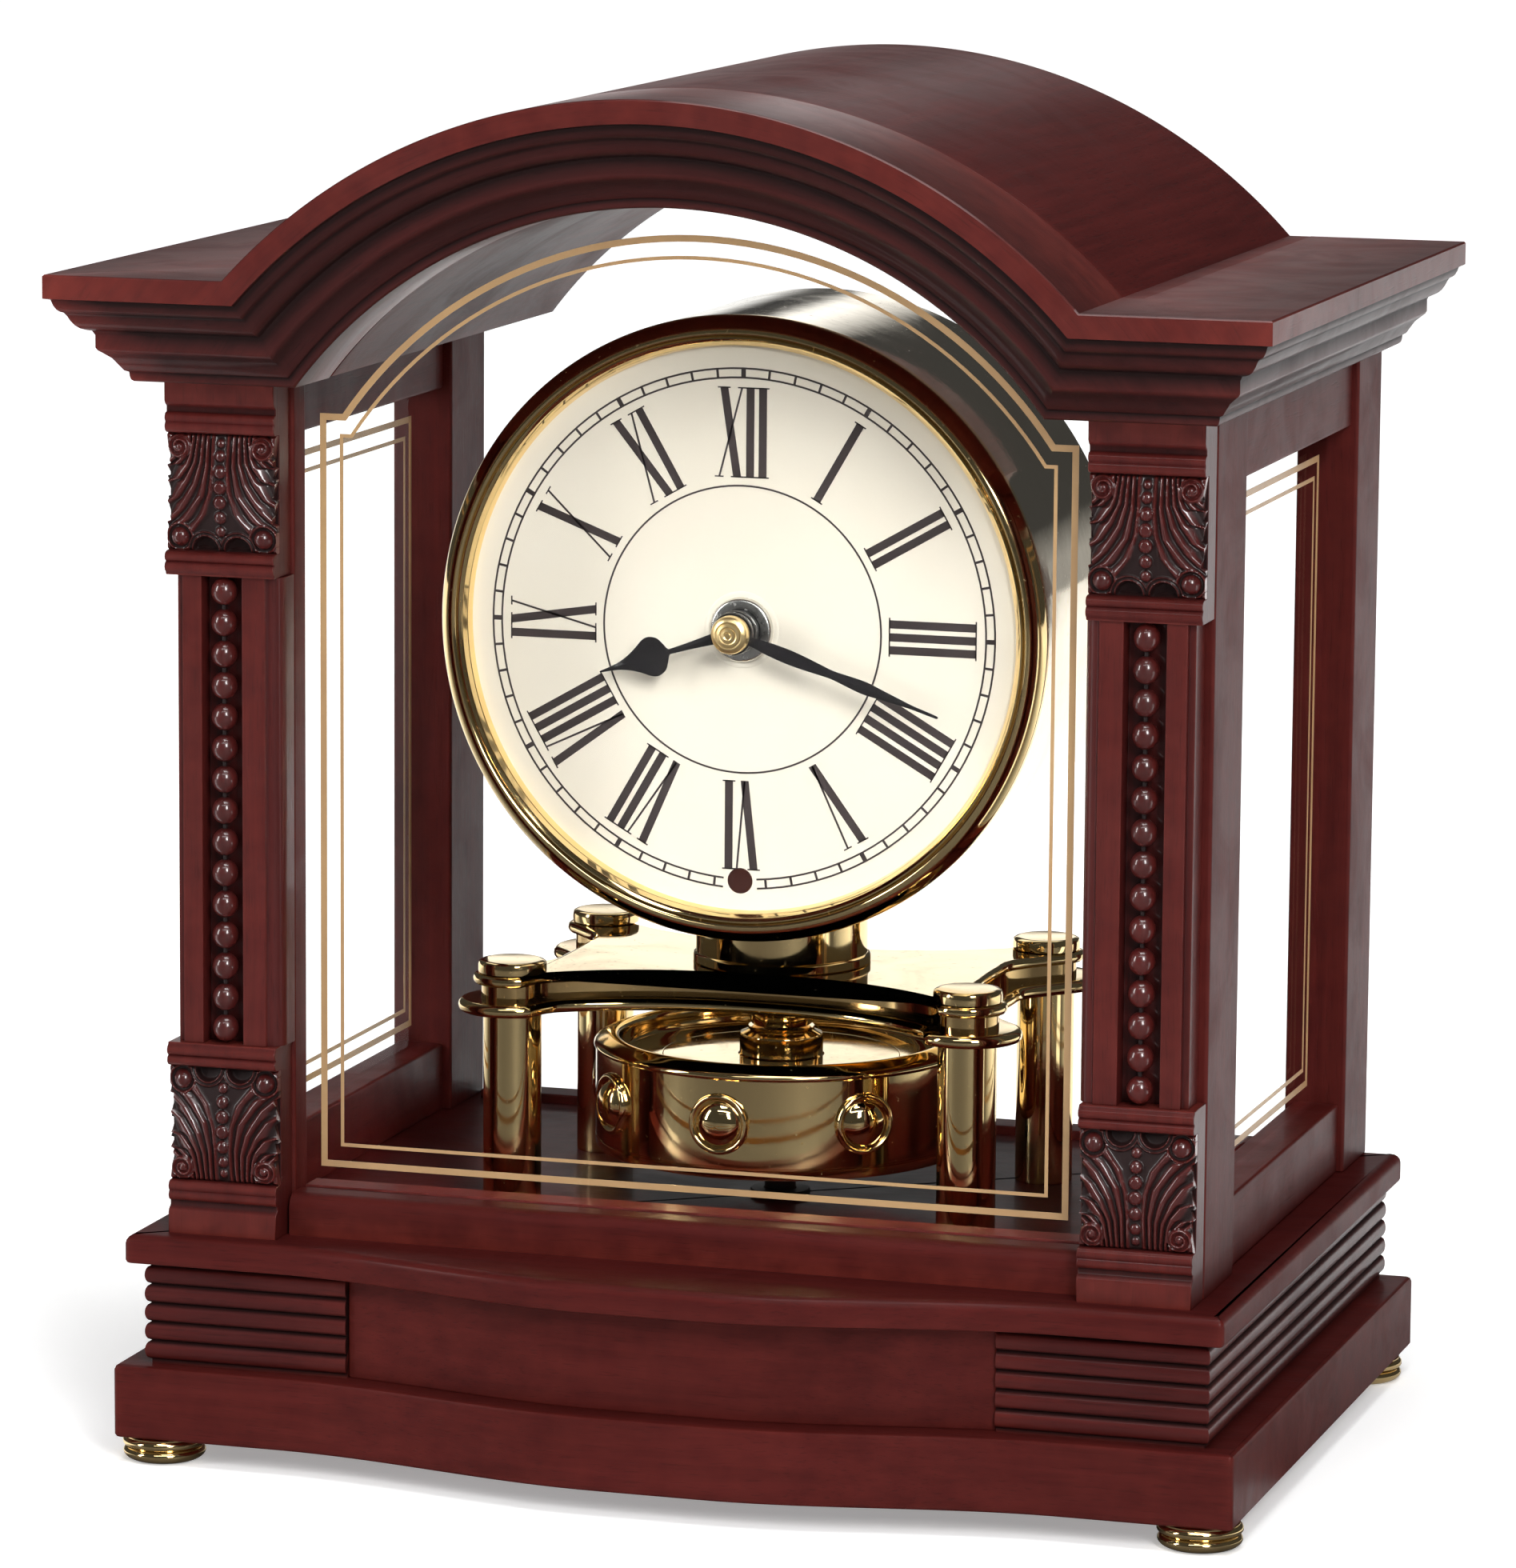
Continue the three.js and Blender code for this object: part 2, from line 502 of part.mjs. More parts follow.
function buildCrown() {
  const high = SHOULDER + ARCH_RISE + 5;
  const half = CROWN_WIDTH / 2;
  const side = CROWN_PROFILE.map(([back, drop]) => [half - back, SHOULDER - drop]);
  const sideRun = prismY([[CROWN_INNER_X, SHOULDER], ...side, [CROWN_INNER_X, SOFFIT]], FRONT, CROWN_BACK);
  const sidePlan = [
    [half, FRONT], [half, CROWN_BACK], [CROWN_INNER_X, CROWN_BACK], [CROWN_INNER_X, GROOVE_FRONT],
  ];
  addPair("crown_side", sideRun.intersect(prismZ(sidePlan, SOFFIT, SHOULDER)), wood);

  const straight = CROWN_PROFILE.map(([back, drop]) => [FRONT + back, SHOULDER - drop]);
  const frontRun = prismX([[GROOVE_FRONT, high], [FRONT, high], ...straight, [GROOVE_FRONT, SOFFIT]],
    -half, half);
  const hollow = CROWN_PROFILE.slice(1).map(([back, drop]) => [ARCH_RADIUS - drop, FRONT + back]);
  const mouth = turnedY([[0, FRONT - 1], [hollow[0][0], FRONT - 1], ...hollow,
    [ARCH_RADIUS - CROWN_HEIGHT, GROOVE_FRONT + 1], [0, GROOVE_FRONT + 1]], 60, 0, ARCH_CENTRE);
  const face = join(
    box(-half, half, FRONT, GROOVE_FRONT, SOFFIT, SHOULDER),
    rodY(ARCH_RADIUS, FRONT, GROOVE_FRONT, 60, 0, ARCH_CENTRE),
  );
  const frontPlan = [
    [-half, FRONT], [half, FRONT], [CROWN_INNER_X, GROOVE_FRONT], [-CROWN_INNER_X, GROOVE_FRONT],
  ];
  const front = frontRun.intersect(face).subtract(mouth)
    .intersect(prismZ(frontPlan, SOFFIT, high));
  add("crown_front_moulding", front, wood());

  const vault = join(
    box(-CROWN_INNER_X, CROWN_INNER_X, GROOVE_FRONT, CROWN_BACK, SOFFIT, SHOULDER),
    rodY(ARCH_RADIUS, GROOVE_FRONT, CROWN_BACK, 60, 0, ARCH_CENTRE)
      .intersect(box(-half, half, GROOVE_FRONT, CROWN_BACK, SHOULDER - 1, high)),
  );
  const roof = vault
    .subtract(rodY(CEILING_RADIUS, FRONT, -FRONT, 60, 0, ARCH_CENTRE))
    .subtract(rodY(CEILING_RADIUS + GROOVE_DEPTH, FRONT, GROOVE_BACK, 60, 0, ARCH_CENTRE));
  add("roof_vault", roof, wood());
}

// ---------------------------------------------------------------- platform and pendulum
// Scalloped plan: a round lobe at each brass post and sides that curve in between them.
function scalloped(lobe, halfX, halfY) {
  const corner = arc(POST_SPAN_X, POST_SPAN_Y, lobe, -50, 132, 7);
  const front = [0, 16, 28, 37].map((x) => [x, halfY + 15.2 * (x / 45) ** 2.4]).reverse();
  const quarter = [[halfX, 0], [halfX + 0.8, POST_SPAN_Y * 0.45], ...corner, ...front];
  const left = quarter.slice(0, -1).map(([x, y]) => [-x, y]).reverse();
  const half = [...quarter, ...left];
  return [...half, ...half.slice(1, -1).map(([x, y]) => [x, -y]).reverse()]
    .map(([x, y]) => [x, y + WORKS_Y]);
}

function eachBrassPost(visit) {
  [["front", -1], ["rear", 1]].forEach(([end, sign]) => visit(end, WORKS_Y + sign * POST_SPAN_Y));
}

function buildPlatform() {
  const lowerTop = PLATFORM_BOTTOM + FLANGE_HEIGHT;
  const upperBottom = PLATFORM_TOP - FLANGE_HEIGHT + 0.3;
  const grow = LOWER_LOBE - UPPER_LOBE;
  const layers = join(
    prismZ(scalloped(LOWER_LOBE, PLATFORM_HALF_X + grow, PLATFORM_HALF_Y + 1.2), PLATFORM_BOTTOM, lowerTop),
    prismZ(scalloped(BRASS_POST_RADIUS, PLATFORM_HALF_X - 2, PLATFORM_HALF_Y - 2.2), lowerTop - 0.5,
      upperBottom + 0.5),
    prismZ(scalloped(UPPER_LOBE, PLATFORM_HALF_X, PLATFORM_HALF_Y), upperBottom, PLATFORM_TOP),
  );
  const boss = turnedZ([
    [0, PENDULUM_TOP + 1.6], [6.6, PENDULUM_TOP + 1.6], [7, PENDULUM_TOP + 3],
    [8.8, PENDULUM_TOP + 4.6], [8.8, PLATFORM_BOTTOM + 1], [0, PLATFORM_BOTTOM + 1],
  ], 24, 0, WORKS_Y);
  let platform = join(layers, boss);
  eachBrassPost((end, y) => {
    const neck = BRASS_POST_RADIUS - 2.3;
    const hole = rodZ(neck + 0.1, PLATFORM_BOTTOM - 1, PLATFORM_TOP + 1, 16, POST_SPAN_X, y);
    platform = platform.subtract(hole).subtract(hole.mirror([1, 0, 0]));
    const post = turnedZ([
      [0, FLOOR], [BRASS_POST_RADIUS, FLOOR], [BRASS_POST_RADIUS, PLATFORM_BOTTOM],
      [neck, PLATFORM_BOTTOM], [neck, PLATFORM_TOP], [CAP_RADIUS, PLATFORM_TOP],
      [CAP_RADIUS, PLATFORM_TOP + CAP_HEIGHT - 0.5], [CAP_RADIUS - 0.6, PLATFORM_TOP + CAP_HEIGHT],
      [0, PLATFORM_TOP + CAP_HEIGHT],
    ], 16, POST_SPAN_X, y);
    addPair(`platform_post_${end}`, post, brass);
  });
  add("platform", platform, brass());

  const saddle = rodY(DRUM_RADIUS, FRONT, -FRONT, 36, 0, DIAL_HEIGHT);
  const pedestal = turnedZ([
    [0, PLATFORM_TOP], [PEDESTAL_RADIUS + 0.6, PLATFORM_TOP], [PEDESTAL_RADIUS + 0.6, PLATFORM_TOP + 2.2],
    [PEDESTAL_RADIUS, PLATFORM_TOP + 2.4], [PEDESTAL_RADIUS, DIAL_HEIGHT - DRUM_RADIUS + 6],
    [0, DIAL_HEIGHT - DRUM_RADIUS + 6],
  ], 24, 0, WORKS_Y);
  add("drum_pedestal", pedestal.subtract(saddle), brass());
}

function buildPendulum() {
  const bottom = PENDULUM_BOTTOM;
  const rim = PENDULUM_TOP - 0.4;
  const dish = PENDULUM_TOP - 5;
  const r = PENDULUM_RADIUS;
  const bore = PIVOT_RADIUS + FIT;
  const body = turnedZ([
    [0, bottom + 6], [bore, bottom + 6], [bore, bottom], [r - 1.2, bottom], [r - 0.4, bottom + 0.8],
    [r - 0.4, rim - 3], [r, rim - 2.4], [r - 0.3, rim - 1.6], [r - 2.5, rim - 0.6], [r - 4.2, rim],
    [r - 5.4, rim - 0.4], [r - 6, dish], [9.1, dish], [9.1, dish + 4.6], [7.2, dish + 5.6],
    [7.2, PENDULUM_TOP + 1.3], [0, PENDULUM_TOP + 1.3],
  ], 28, 0, WORKS_Y);
  const dome = turnedY([
    [0, -r - 2.4], [3.4, -r - 1.8], [DOME_RADIUS, -r + 0.2], [DOME_RADIUS, -r + 3], [0, -r + 3],
  ], 10, 0, bottom + 12.1);
  const domes = Array.from({ length: DOME_COUNT }, (_, i) =>
    dome.rotate([0, 0, (360 * i) / DOME_COUNT - 2.2]).translate([0, WORKS_Y, 0]));
  add("pendulum_disc", join(body, ...domes), brass());
  add("pendulum_pivot", turnedZ([
    [0, FLOOR], [6.6, FLOOR], [6.6, FLOOR + 1.3], [PIVOT_RADIUS, FLOOR + 1.6],
    [PIVOT_RADIUS, bottom + 5.4], [0, bottom + 5.4],
  ], 16, 0, WORKS_Y), black());
}

// ---------------------------------------------------------------- drum, dial and movement
// A spur gear outline: straight-flanked teeth with generous backlash.
function gearOutline(teeth, x, z, phase) {
  const pitch = (teeth * MODULE) / 2;
  const tip = pitch + 0.7 * MODULE;
  const root = pitch - 1.1 * MODULE;
  const step = 360 / teeth;
  const points = [];
  for (let tooth = 0; tooth < teeth; tooth += 1) {
    const middle = phase + tooth * step;
    [[root, -0.24], [tip, -0.1], [tip, 0.1], [root, 0.24]].forEach(([radius, share]) => {
      const angle = THREE.MathUtils.degToRad(middle + share * step);
      points.push([x + radius * Math.cos(angle), z + radius * Math.sin(angle)]);
    });
  }
  return points;
}

function gear(teeth, z, front, back, phase) {
  return prismY(gearOutline(teeth, 0, z, phase), front, back);
}

function handOutline(length, widths, angle) {
  const turn = THREE.MathUtils.degToRad(90 - angle);
  const side = widths.map(([along, half]) => [along * length, half]);
  const ring = [...side, ...side.map(([along, half]) => [along, -half]).reverse()];
  return ring.map(([along, across]) => [
    along * Math.cos(turn) - across * Math.sin(turn),
    DIAL_HEIGHT + along * Math.sin(turn) + across * Math.cos(turn),
  ]);
}

function buildDrum() {
  const axis = DIAL_HEIGHT;
  const drumFront = DIAL_Y + 1.4;
  const drumBack = drumFront + DRUM_LENGTH;
  const bore = DRUM_RADIUS - DRUM_WALL;
  add("drum_shell", turnedY([
    [DRUM_RADIUS, drumFront], [DRUM_RADIUS, drumBack], [bore - 4, drumBack], [bore - 4, drumBack - 1.5],
    [bore, drumBack - 1.5], [bore, drumFront],
  ], 36, 0, axis), brass());
  add("bezel", turnedY([
    [bore - 0.2, drumFront], [DRUM_RADIUS + 0.2, drumFront], [DRUM_RADIUS + 0.2, DIAL_Y - 0.4],
    [DRUM_RADIUS - 1.6, DIAL_Y - 3.2], [63, DIAL_Y - 4.2], [61.4, DIAL_Y - 2.8], [DIAL_OPENING, DIAL_Y],
    [bore - 0.2, DIAL_Y],
  ], 36, 0, axis), brass());
  const sensorZ = axis - 54;
  const dial = rodY(bore - 0.5, DIAL_Y, DIAL_BACK, 36, 0, axis)
    .subtract(rodY(5, DIAL_Y - 1, DIAL_BACK + 1, 16, 0, axis))
    .subtract(rodY(3, DIAL_Y - 1, DIAL_BACK + 1, 12, 0, sensorZ));
  add("dial_plate", dial, cream());
  add("light_sensor", rodY(2.9, DIAL_Y - 0.2, DIAL_BACK + 0.6, 12, 0, sensorZ), darkWood());
}

function buildMovement() {
  const axis = DIAL_HEIGHT;
  const lower = axis - GEAR_OFFSET;
  const bushing = turnedY([
    [2.4, PLATE_FRONT - 5.4], [4.4, PLATE_FRONT - 5.4], [4.4, PLATE_FRONT + 1], [2.4, PLATE_FRONT + 1],
  ], 16, 0, axis);
  const plate = box(-CASE_HALF_X, CASE_HALF_X, PLATE_FRONT, MOVEMENT_FRONT, axis - CASE_HALF_Z,
    axis + CASE_HALF_Z).subtract(rodY(2.4, PLATE_FRONT - 1, MOVEMENT_FRONT + 1, 16, 0, axis));
  add("movement_front_plate", join(plate, bushing), black());
  add("hub_nut", turnedY([
    [4.5, DIAL_Y - 1.4], [6.2, DIAL_Y - 1.4], [7, DIAL_Y - 0.7], [7, DIAL_Y], [4.5, DIAL_Y],
  ], 20, 0, axis), steel());

  const chamber = join(
    rodY(9.2, MOVEMENT_FRONT - 1, MOVEMENT_FRONT + 6.4, 20, 0, axis),
    rodY(8.8, MOVEMENT_FRONT - 1, MOVEMENT_FRONT + 6.4, 20, 0, lower),
  );
  const batteryX = CASE_HALF_X - BATTERY_RADIUS - 4;
  const bayTop = axis + BATTERY_LENGTH / 2 + 1;
  const bayBottom = axis - BATTERY_LENGTH / 2 - 1;
  const bay = box(batteryX - BATTERY_RADIUS - 0.8, batteryX + BATTERY_RADIUS + 0.8,
    MOVEMENT_BACK - 15.4, MOVEMENT_BACK + 1, bayBottom, bayTop);
  const slot = box(-6, 6, MOVEMENT_BACK - 2.5, MOVEMENT_BACK + 1, -1.6, 1.6);
  const switchHeights = { melody_switch: axis + 22, volume_switch: axis + 12 };
  let body = box(-CASE_HALF_X, CASE_HALF_X, MOVEMENT_FRONT, MOVEMENT_BACK, axis - CASE_HALF_Z,
    axis + CASE_HALF_Z)
    .subtract(chamber)
    .subtract(bay)
    .subtract(bay.mirror([1, 0, 0]))
    .subtract(rodY(1.6, MOVEMENT_FRONT, MOVEMENT_BACK + 1, 12, 0, lower));
  Object.entries(switchHeights).forEach(([name, height]) => {
    body = body.subtract(slot.translate([0, 0, height]));
    const stem = box(-1.5, 1.5, MOVEMENT_BACK - 2.2, MOVEMENT_BACK + 0.6, height - 1.3, height + 1.3);
    const cap = box(-2.5, 2.5, MOVEMENT_BACK + 0.3, MOVEMENT_BACK + 2.6, height - 2.3, height + 2.3);
    add(name, join(stem, cap).translate([-3, 0, 0]), black());
  });
  add("movement_case", body, black());
  const cell = turnedZ([
    [0, axis - BATTERY_LENGTH / 2], [BATTERY_RADIUS, axis - BATTERY_LENGTH / 2],
    [BATTERY_RADIUS, axis + BATTERY_LENGTH / 2 - 1.2], [2.6, axis + BATTERY_LENGTH / 2 - 1.2],
    [2.6, axis + BATTERY_LENGTH / 2], [0, axis + BATTERY_LENGTH / 2],
  ], 14, batteryX, MOVEMENT_BACK - BATTERY_RADIUS - 0.9);
  addPair("battery", cell, steel);
}

function buildMotionWork() {
  const axis = DIAL_HEIGHT;
  const lower = axis - GEAR_OFFSET;
  const hourGear = MOVEMENT_FRONT + 0.7;
  const minuteGear = MOVEMENT_FRONT + 3.2;
  const hourHandY = DIAL_Y - 5.1;
  const minuteHandY = hourHandY - 2.4;
  const meshing = 360 / 20;
  add("minute_arbor", join(
    rodY(1, minuteHandY - 1.6, MOVEMENT_FRONT + 6, 10, 0, axis),
    gear(10, axis, minuteGear, minuteGear + 1.8, 90 + meshing),
  ), steel());
  const hand = prismY(handOutline(MINUTE_LENGTH, [[-0.02, 1], [0.12, 0.9], [0.35, 1.7], [0.62, 1.1],
    [1, 0.4]], MINUTE_ANGLE), minuteHandY, minuteHandY + 0.6);
  add("minute_hand", join(hand, rodY(4.6, minuteHandY, minuteHandY + 1.4, 16, 0, axis))
    .subtract(rodY(1.1, minuteHandY - 1, minuteHandY + 3, 10, 0, axis)), black());
  add("hand_nut", turnedY([
    [0, minuteHandY - 2.9], [2.6, minuteHandY - 2.7], [4.1, minuteHandY - 2.2], [4.1, minuteHandY],
    [1.1, minuteHandY], [1.1, minuteHandY - 1.8], [0, minuteHandY - 1.8],
  ], 16, 0, axis), brass());

  const pipe = turnedY([[1.3, hourHandY - 0.4], [2, hourHandY - 0.4], [2, hourGear + 1.4],
    [1.3, hourGear + 1.4]], 12, 0, axis);
  const hourWheel = gear(32, axis, hourGear, hourGear + 1.4, 90)
    .subtract(rodY(1.3, hourGear - 1, hourGear + 2, 12, 0, axis));
  add("hour_wheel", join(hourWheel, pipe), brass());
  const spade = prismY(handOutline(HOUR_LENGTH, [[-0.05, 1.5], [0.2, 0.9], [0.42, 0.9], [0.46, 2.6],
    [0.56, 3.9], [0.68, 3], [1, 0.2]], HOUR_ANGLE), hourHandY, hourHandY + 0.6);
  add("hour_hand", join(spade, rodY(4.7, hourHandY, hourHandY + 1.2, 16, 0, axis))
    .subtract(rodY(2.1, hourHandY - 1, hourHandY + 3, 12, 0, axis)), black());

  add("minute_wheel", join(
    gear(30, lower, minuteGear + 0.2, minuteGear + 1.6, 90),
    gear(8, lower, hourGear - 0.2, hourGear + 1.6, 90 + 360 / 16),
    rodY(1.2, hourGear - 0.4, MOVEMENT_BACK + 2, 10, 0, lower),
  ), steel());
  const knob = turnedY([
    [0, MOVEMENT_BACK + 0.6], [6.4, MOVEMENT_BACK + 0.6], [7, MOVEMENT_BACK + 1.4],
    [7, MOVEMENT_BACK + 5], [6.2, MOVEMENT_BACK + 5.8], [0, MOVEMENT_BACK + 5.8],
  ], 20, 0, lower).subtract(rodY(1.3, MOVEMENT_BACK, MOVEMENT_BACK + 2.3, 10, 0, lower));
  add("set_knob", knob, black());
}

buildBase();
buildPosts();
buildPilasters();
buildCrown();
buildPlatform();
buildPendulum();
buildDrum();
buildMovement();
buildMotionWork();

export default clock;
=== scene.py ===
"""A mantel clock: mahogany case with an arched crown, glazed sides and a brass drum movement.

Shapes are worked out in millimetres in the row frame: x to the right, y to the back, z up.
"""

import json
import logging
import math
from dataclasses import dataclass, field
from enum import Enum

import bmesh
import bpy
import numpy as np
from mathutils import Matrix

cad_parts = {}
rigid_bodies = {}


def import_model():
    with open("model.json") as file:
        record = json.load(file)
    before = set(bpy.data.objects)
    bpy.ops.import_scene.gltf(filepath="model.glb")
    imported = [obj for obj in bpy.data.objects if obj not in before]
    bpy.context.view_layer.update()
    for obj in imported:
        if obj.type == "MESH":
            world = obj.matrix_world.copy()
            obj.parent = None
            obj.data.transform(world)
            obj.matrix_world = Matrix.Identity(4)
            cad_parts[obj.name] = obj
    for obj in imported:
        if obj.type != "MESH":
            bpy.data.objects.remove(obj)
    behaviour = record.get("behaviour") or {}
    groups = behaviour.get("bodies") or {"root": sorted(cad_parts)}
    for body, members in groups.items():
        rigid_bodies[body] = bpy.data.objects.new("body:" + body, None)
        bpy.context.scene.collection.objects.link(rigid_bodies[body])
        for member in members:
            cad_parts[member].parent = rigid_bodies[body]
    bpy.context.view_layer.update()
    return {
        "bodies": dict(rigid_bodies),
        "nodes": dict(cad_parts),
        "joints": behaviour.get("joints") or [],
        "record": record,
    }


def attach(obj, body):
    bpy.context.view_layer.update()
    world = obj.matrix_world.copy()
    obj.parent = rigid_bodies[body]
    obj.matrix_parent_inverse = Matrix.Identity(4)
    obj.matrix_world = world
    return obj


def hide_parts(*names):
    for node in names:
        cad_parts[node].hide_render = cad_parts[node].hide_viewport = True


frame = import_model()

LOG = logging.getLogger("mantel_clock")
MM = 0.001
SIDES = ("right", "left")
SHELTER_REACH = 9.0
WELD_GAP = 4e-6

FLOOR = 49.9
SOFFIT = 232.4
SHOULDER = 255.4
FRONT = -94.3
CROWN_BACK = 90.3
ARCH_CENTRE = 171.72
ARCH_RADIUS = 123.476
CEILING_RADIUS = 100.876
GLAZING_FRONT = -59.5
GLAZING_BACK = -56.5
CROWN_HALF = 130.25
CROWN_INNER = 95.45
WORKS_Y = 6.9
DIAL_Z = 178.4
DIAL_Y = -24.5
PILASTER_X = 99.7


class Axis(Enum):
    """The direction that a shape is carried along."""

    X = 0
    Y = 1
    Z = 2


class Grain(Enum):
    """The way the wood's grain, or a metal's polishing lines, run on a piece."""

    X = "x"
    Y = "y"
    Z = "z"
    ARCH = "arch"


# ------------------------------------------------------------------ curves and outlines
def soften(outline: np.ndarray, radius: float, steps: int = 3) -> np.ndarray:
    """Rounds each corner of a closed outline with a parabola between points set back along its sides.

    Args:
        outline: corner points, one row each.
        radius: how far the rounding reaches along each side, at most 0.45 of the shorter one.
        steps: spans in each rounded corner.

    Returns:
        The rounded outline.
    """
    points = np.asarray(outline, float)
    before = np.roll(points, 1, axis=0) - points
    after = np.roll(points, -1, axis=0) - points
    long_before = np.linalg.norm(before, axis=1, keepdims=True)
    long_after = np.linalg.norm(after, axis=1, keepdims=True)
    reach = np.minimum(radius, 0.45 * np.minimum(long_before, long_after))
    start = (points + before / long_before * reach)[:, None]
    end = (points + after / long_after * reach)[:, None]
    t = np.linspace(0, 1, steps + 1)[None, :, None]
    curve = (1 - t) ** 2 * start + 2 * t * (1 - t) * points[:, None] + t**2 * end
    return curve.reshape(-1, 2)


def inset(outline: np.ndarray, amount: float) -> np.ndarray:
    """Moves each side of a closed outline inward by the amount, and each point along its mitre.

    Args:
        outline: closed outline, one row each.
        amount: how far inward; negative grows it.

    Returns:
        The moved outline.
    """
    points = np.asarray(outline, float)
    x, y = points.T
    turn = np.sign(np.sum(x * np.roll(y, -1) - np.roll(x, -1) * y))
    along = np.roll(points, -1, axis=0) - points
    along /= np.linalg.norm(along, axis=1, keepdims=True) + 1e-12
    normal = np.stack([-along[:, 1], along[:, 0]], axis=1) * turn
    mitre = normal + np.roll(normal, 1, axis=0)
    mitre /= np.linalg.norm(mitre, axis=1, keepdims=True) + 1e-12
    share = np.maximum(np.sum(mitre * normal, axis=1, keepdims=True), 0.35)
    return points + mitre * amount / share


def smooth_line(points: list, steps: int = 4, closed: bool = False) -> np.ndarray:
    """Carries a smooth curve through the points: a cubic between each two, with the chords' slopes.

    Args:
        points: the points the curve passes through.
        steps: spans between neighbours.
        closed: whether the curve joins up.

    Returns:
        The points of the curve.
    """
    p = np.asarray(points, float)
    if closed:
        p = np.vstack([p[-1], p, p[:2]])
    else:
        p = np.vstack([2 * p[0] - p[1], p, 2 * p[-1] - p[-2]])
    a, b, c, d = p[:-3, None], p[1:-2, None], p[2:-1, None], p[3:, None]
    t = (np.arange(steps) / steps)[None, :, None]
    curve = 0.5 * (2 * b + (c - a) * t + (2 * a - 5 * b + 4 * c - d) * t**2
                   + (3 * b - a - 3 * c + d) * t**3)
    flat = curve.reshape(-1, p.shape[1])
    return flat if closed else np.vstack([flat, p[-2]])


def arc(cx: float, cy: float, radius: float, start: float, end: float, count: int) -> np.ndarray:
    """Points on a circle from one angle to another, in degrees, anticlockwise from the first axis."""
    turn = np.radians(np.linspace(start, end, count))
    return np.stack([cx + radius * np.cos(turn), cy + radius * np.sin(turn)], axis=1)


def sheltered(section: np.ndarray) -> np.ndarray:
    """How sheltered each point of a moulding's section is: the share of the half plane in front
    of it that the section's other points shut out, above and below.

    Args:
        section: setback and height, one row each.

    Returns:
        Shelter from 0, on a proud face, to 1 at the bottom of a quirk.
    """
    apart = section[None, :, :] - section[:, None, :]
    angle = np.arctan2(apart[..., 1], -apart[..., 0])
    near = np.hypot(apart[..., 0], apart[..., 1]) < SHELTER_REACH
    above = np.where((apart[..., 1] > 1e-6) & near, angle, math.pi / 2).min(axis=1)
    below = np.where((apart[..., 1] < -1e-6) & near, -angle, math.pi / 2).min(axis=1)
    shut = 1 - (np.clip(above, 0, math.pi / 2) + np.clip(below, 0, math.pi / 2)) / math.pi
    # The shelter is stored as the recess, which darkens the lacquer: painted shade together with dark
    # glazing.
    return np.clip((shut - 0.10) * 2.5, 0, 1)


def step(value: np.ndarray, low: float, high: float) -> np.ndarray:
    """Rises from 0 at low to 1 at high along 3t squared less 2t cubed."""
    t = np.clip((value - low) / (high - low), 0, 1)
    return t * t * (3 - 2 * t)


